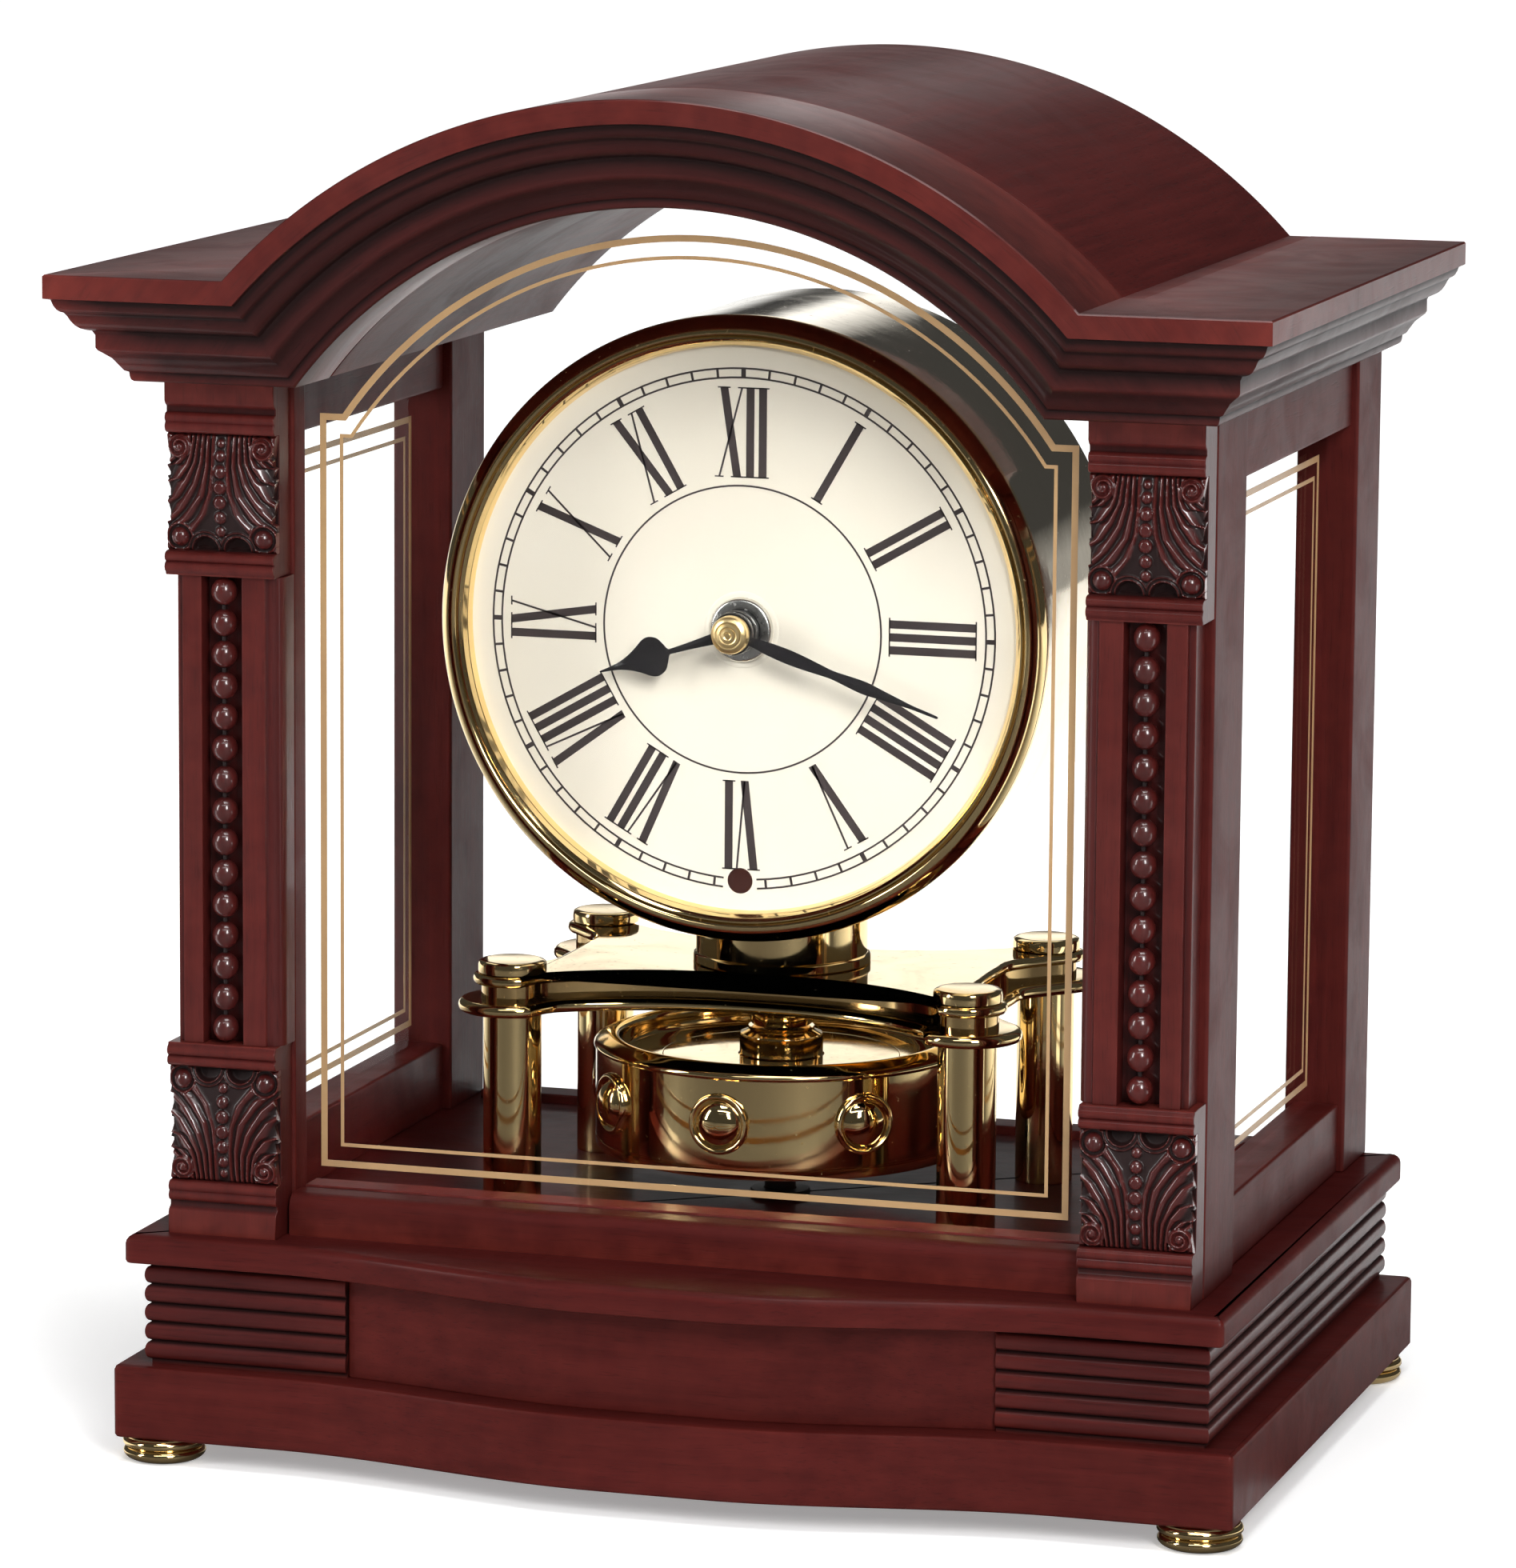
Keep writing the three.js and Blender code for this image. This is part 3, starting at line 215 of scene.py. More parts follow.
# ------------------------------------------------------------------ meshes
@dataclass
class Solid:
    """A closed body gathered from shells, and then made into one mesh.

    Args:
        name: the object's name.
        grain: the way its grain runs.
        mirrored: whether x is turned over when the mesh is made.
    """

    name: str
    grain: Grain = Grain.X
    mirrored: bool = False
    points: list = field(default_factory=list)
    faces: list = field(default_factory=list)
    hollows: list = field(default_factory=list)
    count: int = 0

    def shell(self, points: np.ndarray, faces: list, hollow: np.ndarray | None = None) -> None:
        """Adds points and faces, whose numbers start at the shell's own first point.

        Args:
            points: one row each.
            faces: point numbers of each face.
            hollow: how hollow each point is, 0 to 1, or worked out later.
        """
        self.points.append(np.asarray(points, float))
        self.faces += [[i + self.count for i in face] for face in faces]
        self.hollows.append(np.full(len(points), -1.0) if hollow is None else hollow)
        self.count += len(points)

    def loft(self, rings: np.ndarray, loop: bool = False, shelter: np.ndarray | None = None) -> None:
        """Joins closed rings of points, station by station, and shuts both ends unless they meet.

        Args:
            rings: an array of stations by points by three.
            loop: whether the last station joins the first.
            shelter: how sheltered each point of the section is, 0 to 1, kept as the recess that darkens with
                painted shade and dark glazing; the last end is left undarkened.
        """
        stations, around = rings.shape[:2]
        index = np.arange(stations * around).reshape(stations, around)
        a = index if loop else index[:-1]
        b = np.roll(index, -1, axis=0) if loop else index[1:]
        quads = np.stack([a, np.roll(a, -1, 1), np.roll(b, -1, 1), b], axis=-1).reshape(-1, 4).tolist()
        ends = [] if loop else [index[0][::-1].tolist(), index[-1].tolist()]
        hollow = None if shelter is None else np.concatenate([np.tile(shelter, stations - 1),
                                                              np.zeros(around)])
        self.shell(rings.reshape(-1, 3), quads + ends, hollow)

    def prism(self, outline: np.ndarray, axis: Axis, low: float, high: float, edge: float = 0.4) -> None:
        """Carries an outline along an axis, its two end faces shrunk by a quarter round of this size.

        Args:
            outline: closed outline; (y, z) for X, (x, z) for Y and (x, y) for Z.
            axis: the axis it runs along.
            low: where it starts.
            high: where it ends.
            edge: radius of the rounded end edges.
        """
        bend = np.radians([0, 30, 60, 90])
        shrink = edge * (1 - np.sin(bend))
        rise = edge * (1 - np.cos(bend))
        stops = [(low + r, s) for r, s in zip(rise, shrink)]
        stops += [(high - r, s) for r, s in zip(rise[::-1], shrink[::-1])]
        rings = []
        for place, amount in stops:
            flat = inset(outline, amount) if amount > 1e-9 else np.asarray(outline, float)
            rings.append(np.insert(flat, axis.value, place, axis=1))
        self.loft(np.array(rings))

    def board(self, x: tuple, y: tuple, z: tuple, axis: Axis = Axis.Z, edge: float = 0.5) -> None:
        """A rectangular board with every edge rounded, carried along its longest axis.

        Args:
            x: its two ends across.
            y: its two ends in depth.
            z: its two ends in height.
            axis: the axis it is carried along.
            edge: radius of its long edges.
        """
        spans = [x, y, z]
        low, high = spans.pop(axis.value)
        (a, b), (c, d) = spans
        outline = soften([[a, c], [b, c], [b, d], [a, d]], edge)
        self.prism(outline, axis, low, high, edge * 0.6)

    def revolve(self, profile: list, segments: int, centre: tuple, axis: Axis = Axis.Z) -> None:
        """Turns a profile of (radius, height) points about an axis through the centre.

        Args:
            profile: open profile from the axis round to the axis, or a closed one clear of it.
            segments: steps round.
            centre: the two coordinates of the axis, in the order x, y, z without the axis itself.
            axis: the axis of turning, along which heights are measured.
        """
        p = np.asarray(profile, float)
        turn = np.linspace(0, 2 * math.pi, segments, endpoint=False)[:, None]
        first = centre[0] + p[:, 0] * np.cos(turn)
        second = centre[1] + p[:, 0] * np.sin(turn)
        height = np.broadcast_to(p[:, 1], first.shape)
        flat = [first, second]
        flat.insert(axis.value, height)
        rings = np.stack(flat, axis=-1)
        count = len(p)
        index = np.arange(segments * count).reshape(segments, count)
        after = np.roll(index, -1, axis=0)
        quads = np.stack([index[:, :-1], index[:, 1:], after[:, 1:], after[:, :-1]], -1)
        self.shell(rings.reshape(-1, 3), quads.reshape(-1, 4).tolist())

    def relief(self, grid: np.ndarray, back: float, hollow: np.ndarray) -> None:
        """A carved face over a flat back: its rim drops straight to the back along y.

        Args:
            grid: rows by columns by three, the carved face.
            back: y of the flat back.
            hollow: rows by columns, how deep each point lies in the carving, 0 to 1.
        """
        rows, columns = grid.shape[:2]
        index = np.arange(rows * columns).reshape(rows, columns)
        quads = np.stack([index[:-1, :-1], index[:-1, 1:], index[1:, 1:], index[1:, :-1]], -1)
        rim = np.concatenate([index[0, :-1], index[:-1, -1], index[-1, :0:-1], index[:0:-1, 0]])
        flat = grid.reshape(-1, 3)
        behind = flat[rim].copy()
        behind[:, 1] = back
        base = rows * columns + np.arange(len(rim))
        side = np.stack([rim, base, np.roll(base, -1), np.roll(rim, -1)], -1)
        faces = quads.reshape(-1, 4).tolist() + side.tolist() + [base.tolist()]
        depth = np.concatenate([hollow.ravel(), np.zeros(len(rim))])
        self.shell(np.vstack([flat, behind]), faces, depth)

    def make(self, finish: "Finish", body: str, nodes: list, slot: str,
             sharp: float = 38.0) -> bpy.types.Object:
        """Builds the mesh, merges doubled points, turns faces outward and dresses the piece.

        Args:
            finish: the finish it wears.
            body: the body it moves with.
            nodes: the nodes of the solid model that it stands for.
            slot: the record's material slot; not used.
            sharp: edges turned more than this many degrees stay crisp.

        Returns:
            The finished object.
        """
        points = np.vstack(self.points)
        if self.mirrored:
            points = points * [-1, 1, 1]
        mesh = bpy.data.meshes.new(self.name)
        mesh.from_pydata((points * MM).tolist(), [], self.faces)
        layer = mesh.attributes.new("recess", "FLOAT", "POINT")
        layer.data.foreach_set("value", np.concatenate(self.hollows))
        work = bmesh.new()
        work.from_mesh(mesh)
        bmesh.ops.remove_doubles(work, verts=work.verts, dist=WELD_GAP)
        bmesh.ops.recalc_face_normals(work, faces=work.faces)
        work.to_mesh(mesh)
        work.free()
        self.mark(mesh)
        mesh.shade_smooth()
        mesh.set_sharp_from_angle(angle=math.radians(sharp))
        piece = bpy.data.objects.new(self.name, mesh)
        bpy.context.scene.collection.objects.link(piece)
        modifier = piece.modifiers.new("even_shading", "WEIGHTED_NORMAL")
        modifier.keep_sharp = True
        mesh.materials.append(finish.material())
        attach(piece, body)
        if nodes:
            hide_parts(*nodes)
        LOG.info("%s: %d faces", self.name, len(mesh.polygons))
        return piece

    def mark(self, mesh: bpy.types.Mesh) -> None:
        """Stores where the grain runs, how hollow each point is, and how proud it is.

        A point is hollow where its neighbours lie in front of its own normal: the mean of the
        normal dotted with the direction to each neighbour, spread twice over the neighbours.

        Args:
            mesh: the piece's mesh.
        """
        count = len(mesh.vertices)
        place = np.empty(count * 3)
        mesh.vertices.foreach_get("co", place)
        place = place.reshape(-1, 3) / MM
        x, y, z = place.T
        shift = 0.37 * sum(map(ord, self.name))
        if self.grain is Grain.X:
            lay = np.stack([x, y, z + shift], -1)
        elif self.grain is Grain.Y:
            lay = np.stack([y, x, z + shift], -1)
        elif self.grain is Grain.Z:
            lay = np.stack([z, x, y + shift], -1)
        else:
            r = np.hypot(x, z - ARCH_CENTRE)
            lay = np.stack([np.arctan2(x, z - ARCH_CENTRE) * ARCH_RADIUS, y, r + shift], -1)
        mesh.attributes.new("grain", "FLOAT_VECTOR", "POINT").data.foreach_set("vector", lay.ravel())
        normal = np.empty(count * 3)
        mesh.vertex_normals.foreach_get("vector", normal)
        normal = normal.reshape(-1, 3)
        edge = np.empty(len(mesh.edges) * 2, int)
        mesh.edges.foreach_get("vertices", edge)
        a, b = edge.reshape(-1, 2).T
        along = place[b] - place[a]
        along /= np.linalg.norm(along, axis=1, keepdims=True) + 1e-9
        total = np.bincount(a, np.sum(normal[a] * along, 1), count)
        total += np.bincount(b, -np.sum(normal[b] * along, 1), count)
        near = np.maximum(np.bincount(a, minlength=count) + np.bincount(b, minlength=count), 1)
        value = total / near
        for _ in range(2):
            spread = np.bincount(a, value[b], count) + np.bincount(b, value[a], count)
            value = 0.5 * value + 0.5 * spread / near
        # How proud each point is, stored as the ridge that the lacquer lightens as a painted highlight on
        # edges.
        proud = np.clip(-value * 2.6 - 0.12, 0, 1)
        # Where no shelter was given, convexity sets the recess: it darkens lacquer and paint as painted
        # shade, with dark glazing on the lacquer, and holds tarnish on metal.
        given = np.empty(count)
        mesh.attributes["recess"].data.foreach_get("value", given)
        value = np.where(given >= 0, given, np.clip(value * 4.5, 0, 1))
        mesh.attributes["recess"].data.foreach_set("value", value)
        mesh.attributes.new("ridge", "FLOAT", "POINT").data.foreach_set("value", proud)


# ------------------------------------------------------------------ material nodes
@dataclass
class Graph:
    """Short ways to place and join nodes in one tree."""

    tree: bpy.types.NodeTree

    def node(self, kind: str, settings: dict | None = None, **inputs: object) -> bpy.types.Node:
        """Places a node; settings are its own properties, inputs its sockets, joined or set.

        Args:
            kind: the node's type name.
            settings: property names and values.
            inputs: socket names, with underscores for spaces, and a socket or a value.

        Returns:
            The new node.
        """
        made = self.tree.nodes.new(kind)
        for key, value in (settings or {}).items():
            setattr(made, key, value)
        for key, value in inputs.items():
            name = key.replace("_", " ")
            socket = made.inputs[int(key[1:])] if key[0] == "i" and key[1:].isdigit() else made.inputs[name]
            if isinstance(value, bpy.types.NodeSocket):
                self.link(value, socket)
            else:
                socket.default_value = value
        return made

    def math(self, operation: str, a: object, b: object = 0.0, clamp: bool = False) -> bpy.types.NodeSocket:
        """One arithmetic step on numbers or sockets."""
        return self.node("ShaderNodeMath", {"operation": operation, "use_clamp": clamp}, i0=a,
                         i1=b).outputs[0]

    def times(self, a: object, b: object, clamp: bool = False) -> bpy.types.NodeSocket:
        """The product of two numbers or sockets."""
        return self.math("MULTIPLY", a, b, clamp)

    def plus(self, a: object, b: object, clamp: bool = False) -> bpy.types.NodeSocket:
        """The sum of two numbers or sockets."""
        return self.math("ADD", a, b, clamp)

    def link(self, value: bpy.types.NodeSocket, socket: bpy.types.NodeSocket) -> None:
        """Joins a value to the socket it feeds."""
        self.tree.links.new(value, socket)

    def noise(self, vector: object, scale: float, detail: float = 3,
              rough: float = 0.55) -> bpy.types.NodeSocket:
        """Fractal noise at a scale, from 0 to 1."""
        made = self.node("ShaderNodeTexNoise", Vector=vector, Scale=scale, Detail=detail, Roughness=rough)
        return made.outputs[0]

    def span(self, value: object, low: float, high: float, to_low: float = 0.0,
             to_high: float = 1.0) -> bpy.types.NodeSocket:
        """Carries a range onto another, held at its ends.

        Args:
            value: the number or socket carried over.
            low: start of its range.
            high: end of its range.
            to_low: what the start becomes.
            to_high: what the end becomes.

        Returns:
            The carried value.
        """
        made = self.node("ShaderNodeMapRange", {"clamp": True}, Value=value, From_Min=low, From_Max=high,
                         To_Min=to_low, To_Max=to_high)
        return made.outputs[0]

    def blend(self, share: object, a: object, b: object, kind: str = "MIX") -> bpy.types.NodeSocket:
        """Mixes two colours by a share."""
        made = self.node("ShaderNodeMix", {"data_type": "RGBA", "blend_type": kind}, i0=share, i6=a, i7=b)
        return made.outputs[2]

    def stretch(self, vector: object, scale: tuple, place: tuple = (0, 0, 0)) -> bpy.types.NodeSocket:
        """Scales and shifts a pattern's coordinates."""
        return self.node("ShaderNodeMapping", Vector=vector, Scale=scale, Location=place).outputs[0]

    def bump(self, height: object, strength: float, distance: float) -> bpy.types.NodeSocket:
        """Turns a height into a normal."""
        return self.node("ShaderNodeBump", Height=height, Strength=strength, Distance=distance).outputs[0]

    def attribute(self, name: str) -> bpy.types.Node:
        """A surface attribute stored on the piece."""
        return self.node("ShaderNodeAttribute", {"attribute_name": name})

    def place(self) -> bpy.types.NodeSocket:
        """The piece's own coordinates, in metres."""
        return self.node("ShaderNodeTexCoord").outputs["Object"]


def effect_group(name: str, inputs: dict, outputs: tuple) -> tuple:
    """Makes an empty node group with named sockets.

    Args:
        name: the group's name.
        inputs: input names with their default values; a tuple makes a vector input.
        outputs: names of the values it puts out.

    Returns:
        The group, its graph, its input node and its output node.
    """
    group = bpy.data.node_groups.new(name, "ShaderNodeTree")
    for label, value in inputs.items():
        kind = "NodeSocketVector" if isinstance(value, tuple) else "NodeSocketFloat"
        socket = group.interface.new_socket(name=label, in_out="INPUT", socket_type=kind)
        socket.default_value = value
    for label in outputs:
        group.interface.new_socket(name=label, in_out="OUTPUT", socket_type="NodeSocketFloat")
    graph = Graph(group)
    return group, graph, graph.node("NodeGroupInput"), graph.node("NodeGroupOutput")


def wood_figure() -> bpy.types.NodeTree:
    """Mahogany's figure: long streaks, short pores and slow clouds along the grain.

    Streaks are noise stretched 40 times along the grain, pores a finer noise stretched 14 times
    and cut to its lowest part, and clouds a broad noise nearly even both ways.

    Returns:
        The shared node group.
    """
    if "wood_figure" in bpy.data.node_groups:
        return bpy.data.node_groups["wood_figure"]
    group, g, enter, leave = effect_group("wood_figure", {"Grain": (0.0, 0.0, 0.0)},
                                          ("Streak", "Pores", "Clouds"))
    lay = enter.outputs["Grain"]
    wave = g.noise(g.stretch(lay, (0.006, 0.03, 0.03)), 1.0, 2)
    bent = g.node("ShaderNodeVectorMath", {"operation": "ADD"}, i0=lay,
                  i1=g.node("ShaderNodeCombineXYZ", Y=g.times(wave, 9.0), Z=g.times(wave, 7.0)).outputs[0])
    streak = g.noise(g.stretch(bent.outputs[0], (0.012, 0.42, 0.42)), 1.0, 5, 0.62)
    pores = g.noise(g.stretch(bent.outputs[0], (0.16, 2.6, 2.6)), 1.0, 2, 0.5)
    clouds = g.noise(g.stretch(lay, (0.018, 0.035, 0.035)), 1.0, 3, 0.5)
    g.link(g.span(streak, 0.3, 0.7), leave.inputs["Streak"])
    g.link(g.span(pores, 0.30, 0.42, 1.0, 0.0), leave.inputs["Pores"])
    g.link(g.span(clouds, 0.3, 0.7), leave.inputs["Clouds"])
    return group


def handled_surface() -> bpy.types.NodeTree:
    """Smudges, settled dust and a fine unevenness that any kept surface shows.

    Smudges are a broad noise warped by itself and raised to a soft mask; specks are a fine noise
    cut to its highest part; waves are a slow noise for the surface's unevenness.

    Returns:
        The shared node group.
    """
    if "handled_surface" in bpy.data.node_groups:
        return bpy.data.node_groups["handled_surface"]
    group, g, enter, leave = effect_group(
        "handled_surface", {"Place": (0.0, 0.0, 0.0), "Scale": 1.0}, ("Smudge", "Specks", "Waves"))
    place = g.node("ShaderNodeVectorMath", {"operation": "SCALE"}, i0=enter.outputs["Place"],
                   Scale=enter.outputs["Scale"]).outputs[0]
    smudge = g.node("ShaderNodeTexNoise", Vector=place, Scale=38.0, Detail=5.0, Roughness=0.6,
                    Distortion=0.8).outputs[0]
    g.link(g.span(smudge, 0.42, 0.72), leave.inputs["Smudge"])
    g.link(g.span(g.noise(place, 900.0, 2), 0.66, 0.76), leave.inputs["Specks"])
    g.link(g.noise(place, 160.0, 2), leave.inputs["Waves"])
    return group


@dataclass(frozen=True)
class Finish:
    """What every finish shares: a name, and one material made the first time it is asked for."""

    name: str

    def material(self) -> bpy.types.Material:
        """The finish's material, made once.

        Returns:
            The material.
        """
        if self.name in bpy.data.materials:
            return bpy.data.materials[self.name]
        made = bpy.data.materials.new(self.name)
        made.use_nodes = True
        graph = Graph(made.node_tree)
        self.paint(graph, made.node_tree.nodes["Principled BSDF"])
        return made

    def paint(self, g: Graph, shader: bpy.types.Node) -> None:
        """Sets the shader's sockets and joins the nodes that vary them."""
        raise NotImplementedError

    def handled(self, g: Graph, scale: float = 1.0) -> bpy.types.Node:
        """Places the shared effect of handling, on the piece's own coordinates."""
        return g.node("ShaderNodeGroup", {"node_tree": handled_surface()}, Place=g.place(), Scale=scale)


@dataclass(frozen=True)
class Lacquer(Finish):
    """Stained wood under clear lacquer, darkened nearly black in its hollows by dark glazing together with
    painted shade.

    Args:
        dark: stain in the dark streaks.
        light: stain in the light streaks.
        glaze_and_shade: how strongly hollows are darkened, by dark glazing and painted shade together.
        gloss: roughness of the wood under the lacquer.
        coat: weight of the clear lacquer on open faces.
        shine: strength of the reflection from the wood itself.
    """

    dark: tuple = (0.034, 0.0040, 0.0038, 1)
    light: tuple = (0.074, 0.0092, 0.0080, 1)
    glaze_and_shade: float = 1.0
    gloss: float = 0.42
    coat: float = 0.04
    shine: float = 0.08

    def paint(self, g: Graph, shader: bpy.types.Node) -> None:
        """Streaks and clouds set the stain; pores darken it, and hollows darken nearly black by dark glazing
        together with painted shade.

        Args:
            g: the material's graph.
            shader: its shader node.
        """
        figure = g.node("ShaderNodeGroup", {"node_tree": wood_figure()},
                        Grain=g.attribute("grain").outputs["Vector"])
        streak, pores, clouds = figure.outputs
        recess = g.attribute("recess").outputs["Fac"]
        handled = self.handled(g)
        tone = g.plus(g.times(streak, 0.62), g.times(clouds, 0.38))
        stain = g.blend(tone, self.dark, self.light)
        stain = g.blend(g.times(pores, 0.45), stain, (0.018, 0.0035, 0.003, 1))
        # Proud edges are lightened, patchily by the slow waves: a painted highlight.
        ridge = g.attribute("ridge").outputs["Fac"]
        stain = g.blend(g.times(ridge, g.span(handled.outputs["Waves"], 0.3, 0.7, 0.25, 0.7)), stain,
                        (0.17, 0.026, 0.018, 1))
        # Hollows darken toward near black: dark glazing together with painted shade; they are also rougher
        # and less coated.
        glaze_and_shade_share = g.times(g.span(recess, 0.04, 0.6), self.glaze_and_shade, True)
        stain = g.blend(g.times(glaze_and_shade_share, 0.88), stain, (0.0075, 0.0024, 0.0022, 1))
        shader.inputs["Base Color"].default_value = self.light
        g.link(stain, shader.inputs["Base Color"])
        rough = g.plus(self.gloss, g.times(handled.outputs["Smudge"], 0.12))
        rough = g.plus(rough, g.times(glaze_and_shade_share, 0.2), True)
        g.link(rough, shader.inputs["Roughness"])
        g.link(g.span(glaze_and_shade_share, 0.0, 1.0, self.coat, self.coat * 0.35), shader.inputs["Coat Weight"])
        shader.inputs["Coat Roughness"].default_value = 0.11
        shader.inputs["Coat IOR"].default_value = 1.5
        shader.inputs["Specular IOR Level"].default_value = self.shine
        height = g.plus(g.times(pores, -0.35), g.times(handled.outputs["Waves"], 0.8))
        normal = g.bump(height, 0.35, 0.00018)
        g.link(normal, shader.inputs["Normal"])


@dataclass(frozen=True)
class Metal(Finish):
    """Bare or lacquered metal.

    Args:
        colour: colour of its reflection.
        tarnish: colour it turns to in the smudges and hollows.
        gloss: roughness where it is clean.
        dull: roughness added in the smudges.
    """

    colour: tuple = (0.95, 0.72, 0.36, 1)
    tarnish: tuple = (0.66, 0.42, 0.17, 1)
    gloss: float = 0.045
    dull: float = 0.1

    def paint(self, g: Graph, shader: bpy.types.Node) -> None:
        """Smudges dull and darken the polish; hollows hold some tarnish.

        Args:
            g: the material's graph.
            shader: its shader node.
        """
        handled = self.handled(g)
        smudge = handled.outputs["Smudge"]
        recess = g.span(g.attribute("recess").outputs["Fac"], 0.08, 0.8)
        share = g.plus(g.times(smudge, 0.35), g.times(recess, 0.55), True)
        g.link(g.blend(share, self.colour, self.tarnish), shader.inputs["Base Color"])
        shader.inputs["Metallic"].default_value = 1.0
        rough = g.plus(self.gloss, g.times(smudge, self.dull))
        rough = g.plus(rough, g.times(handled.outputs["Specks"], 0.2), True)
        g.link(rough, shader.inputs["Roughness"])
        g.link(g.bump(handled.outputs["Waves"], 0.12, 0.00012), shader.inputs["Normal"])


@dataclass(frozen=True)
class PaneGlass(Finish):
    """Clear sheet glass, with a trace of haze where it has been wiped."""

    def paint(self, g: Graph, shader: bpy.types.Node) -> None:
        """Thin haze in the smudges is the only variation.

        Args:
            g: the material's graph.
            shader: its shader node.
        """
        handled = self.handled(g, 0.6)
        shader.inputs["Base Color"].default_value = (0.975, 0.985, 0.98, 1)
        shader.inputs["Transmission Weight"].default_value = 1.0
        shader.inputs["IOR"].default_value = 1.05
        shader.inputs["Specular IOR Level"].default_value = 0.5
        g.link(g.span(handled.outputs["Smudge"], 0, 1, 0.0, 0.02), shader.inputs["Roughness"])


@dataclass(frozen=True)
class Paint(Finish):
    """Paint, ink, plastic or enamel: a coloured skin with its own evenness and sheen.

    Args:
        colour: its main colour.
        shade: colour it drifts to in its clouds.
        gloss: roughness where it is clean.
        coat: weight of the clear layer over it.
        texture: strength of its fine surface texture.
        scale: how fine its clouds and smudges are.
    """

    colour: tuple = (0.02, 0.02, 0.02, 1)
    shade: tuple = (0.03, 0.03, 0.03, 1)
    gloss: float = 0.4
    coat: float = 0.0
    texture: float = 0.2
    scale: float = 1.0

    def paint(self, g: Graph, shader: bpy.types.Node) -> None:
        """Clouds drift the colour, painted shade darkens the hollows, specks and smudges vary the sheen, and
        waves the surface.

        Args:
            g: the material's graph.
            shader: its shader node.
        """
        handled = self.handled(g, self.scale)
        clouds = g.noise(g.place(), 24.0 * self.scale, 4)
        colour = g.blend(g.span(clouds, 0.35, 0.68), self.colour, self.shade)
        # Hollows are darkened toward a deep tone of the paint's own shade: painted shade.
        recess = g.span(g.attribute("recess").outputs["Fac"], 0.1, 0.9, 0.0, 0.6)
        colour = g.blend(recess, colour, tuple(0.45 * c for c in self.shade[:3]) + (1,))
        g.link(colour, shader.inputs["Base Color"])
        rough = g.plus(self.gloss, g.times(handled.outputs["Smudge"], 0.12), True)
        g.link(rough, shader.inputs["Roughness"])
        shader.inputs["Coat Weight"].default_value = self.coat
        shader.inputs["Coat Roughness"].default_value = 0.1
        grit = g.noise(g.place(), 2600.0, 2)
        height = g.plus(grit, g.times(handled.outputs["Waves"], 1.2))
        g.link(g.bump(height, self.texture, 0.00004), shader.inputs["Normal"])


CASE_WOOD = Lacquer("case_wood_lacquer")
CARVED_WOOD = Lacquer("carved_wood_lacquer", gloss=0.32, coat=1.0, shine=0.35)
MOULDED_WOOD = Lacquer("moulded_wood_lacquer", gloss=0.4, coat=0.3, shine=0.15)
ROOF_WOOD = Lacquer("satin_roof_lacquer", gloss=0.48, coat=0.08, shine=0.08)
BACK_WOOD = Lacquer("dark_stained_wood", dark=(0.02, 0.005, 0.004, 1), light=(0.045, 0.012, 0.009, 1),
                    gloss=0.5)
BRASS = Metal("polished_brass_finish")
DRUM_BRASS = Metal("pale_polished_brass", colour=(0.90, 0.80, 0.63, 1), tarnish=(0.62, 0.50, 0.34, 1))
STEEL = Metal("turned_nickel", colour=(0.74, 0.73, 0.70, 1), tarnish=(0.45, 0.42, 0.37, 1), gloss=0.2,
              dull=0.15)
GEAR_BRASS = Metal("stamped_brass", gloss=0.28, dull=0.2)
GLASS = PaneGlass("clear_pane_glass")
GOLD_LINE = Paint("gold_printed_line", (0.47, 0.29, 0.13, 1), (0.40, 0.24, 0.11, 1), 0.35, 0.2, 0.15)
DIAL_PAINT = Paint("cream_dial_paint", (0.85, 0.785, 0.66, 1), (0.83, 0.76, 0.63, 1), 0.5, 0.06, 0.12)
DIAL_INK = Paint("black_dial_ink", (0.035, 0.026, 0.025, 1), (0.05, 0.038, 0.036, 1), 0.38, 0.1, 0.15)
ENAMEL = Paint("black_hand_enamel", (0.012, 0.011, 0.012, 1), (0.02, 0.018, 0.018, 1), 0.16, 0.9, 0.08)
PLASTIC = Paint("grained_black_plastic", (0.022, 0.022, 0.023, 1), (0.032, 0.031, 0.031, 1), 0.48, 0.0, 0.5)
SENSOR = Paint("smoked_sensor_window", (0.045, 0.014, 0.010, 1), (0.03, 0.01, 0.008, 1), 0.15, 0.6, 0.05)
JACKET = Paint("battery_jacket_print", (0.035, 0.06, 0.085, 1), (0.05, 0.075, 0.10, 1), 0.3, 0.4, 0.08)


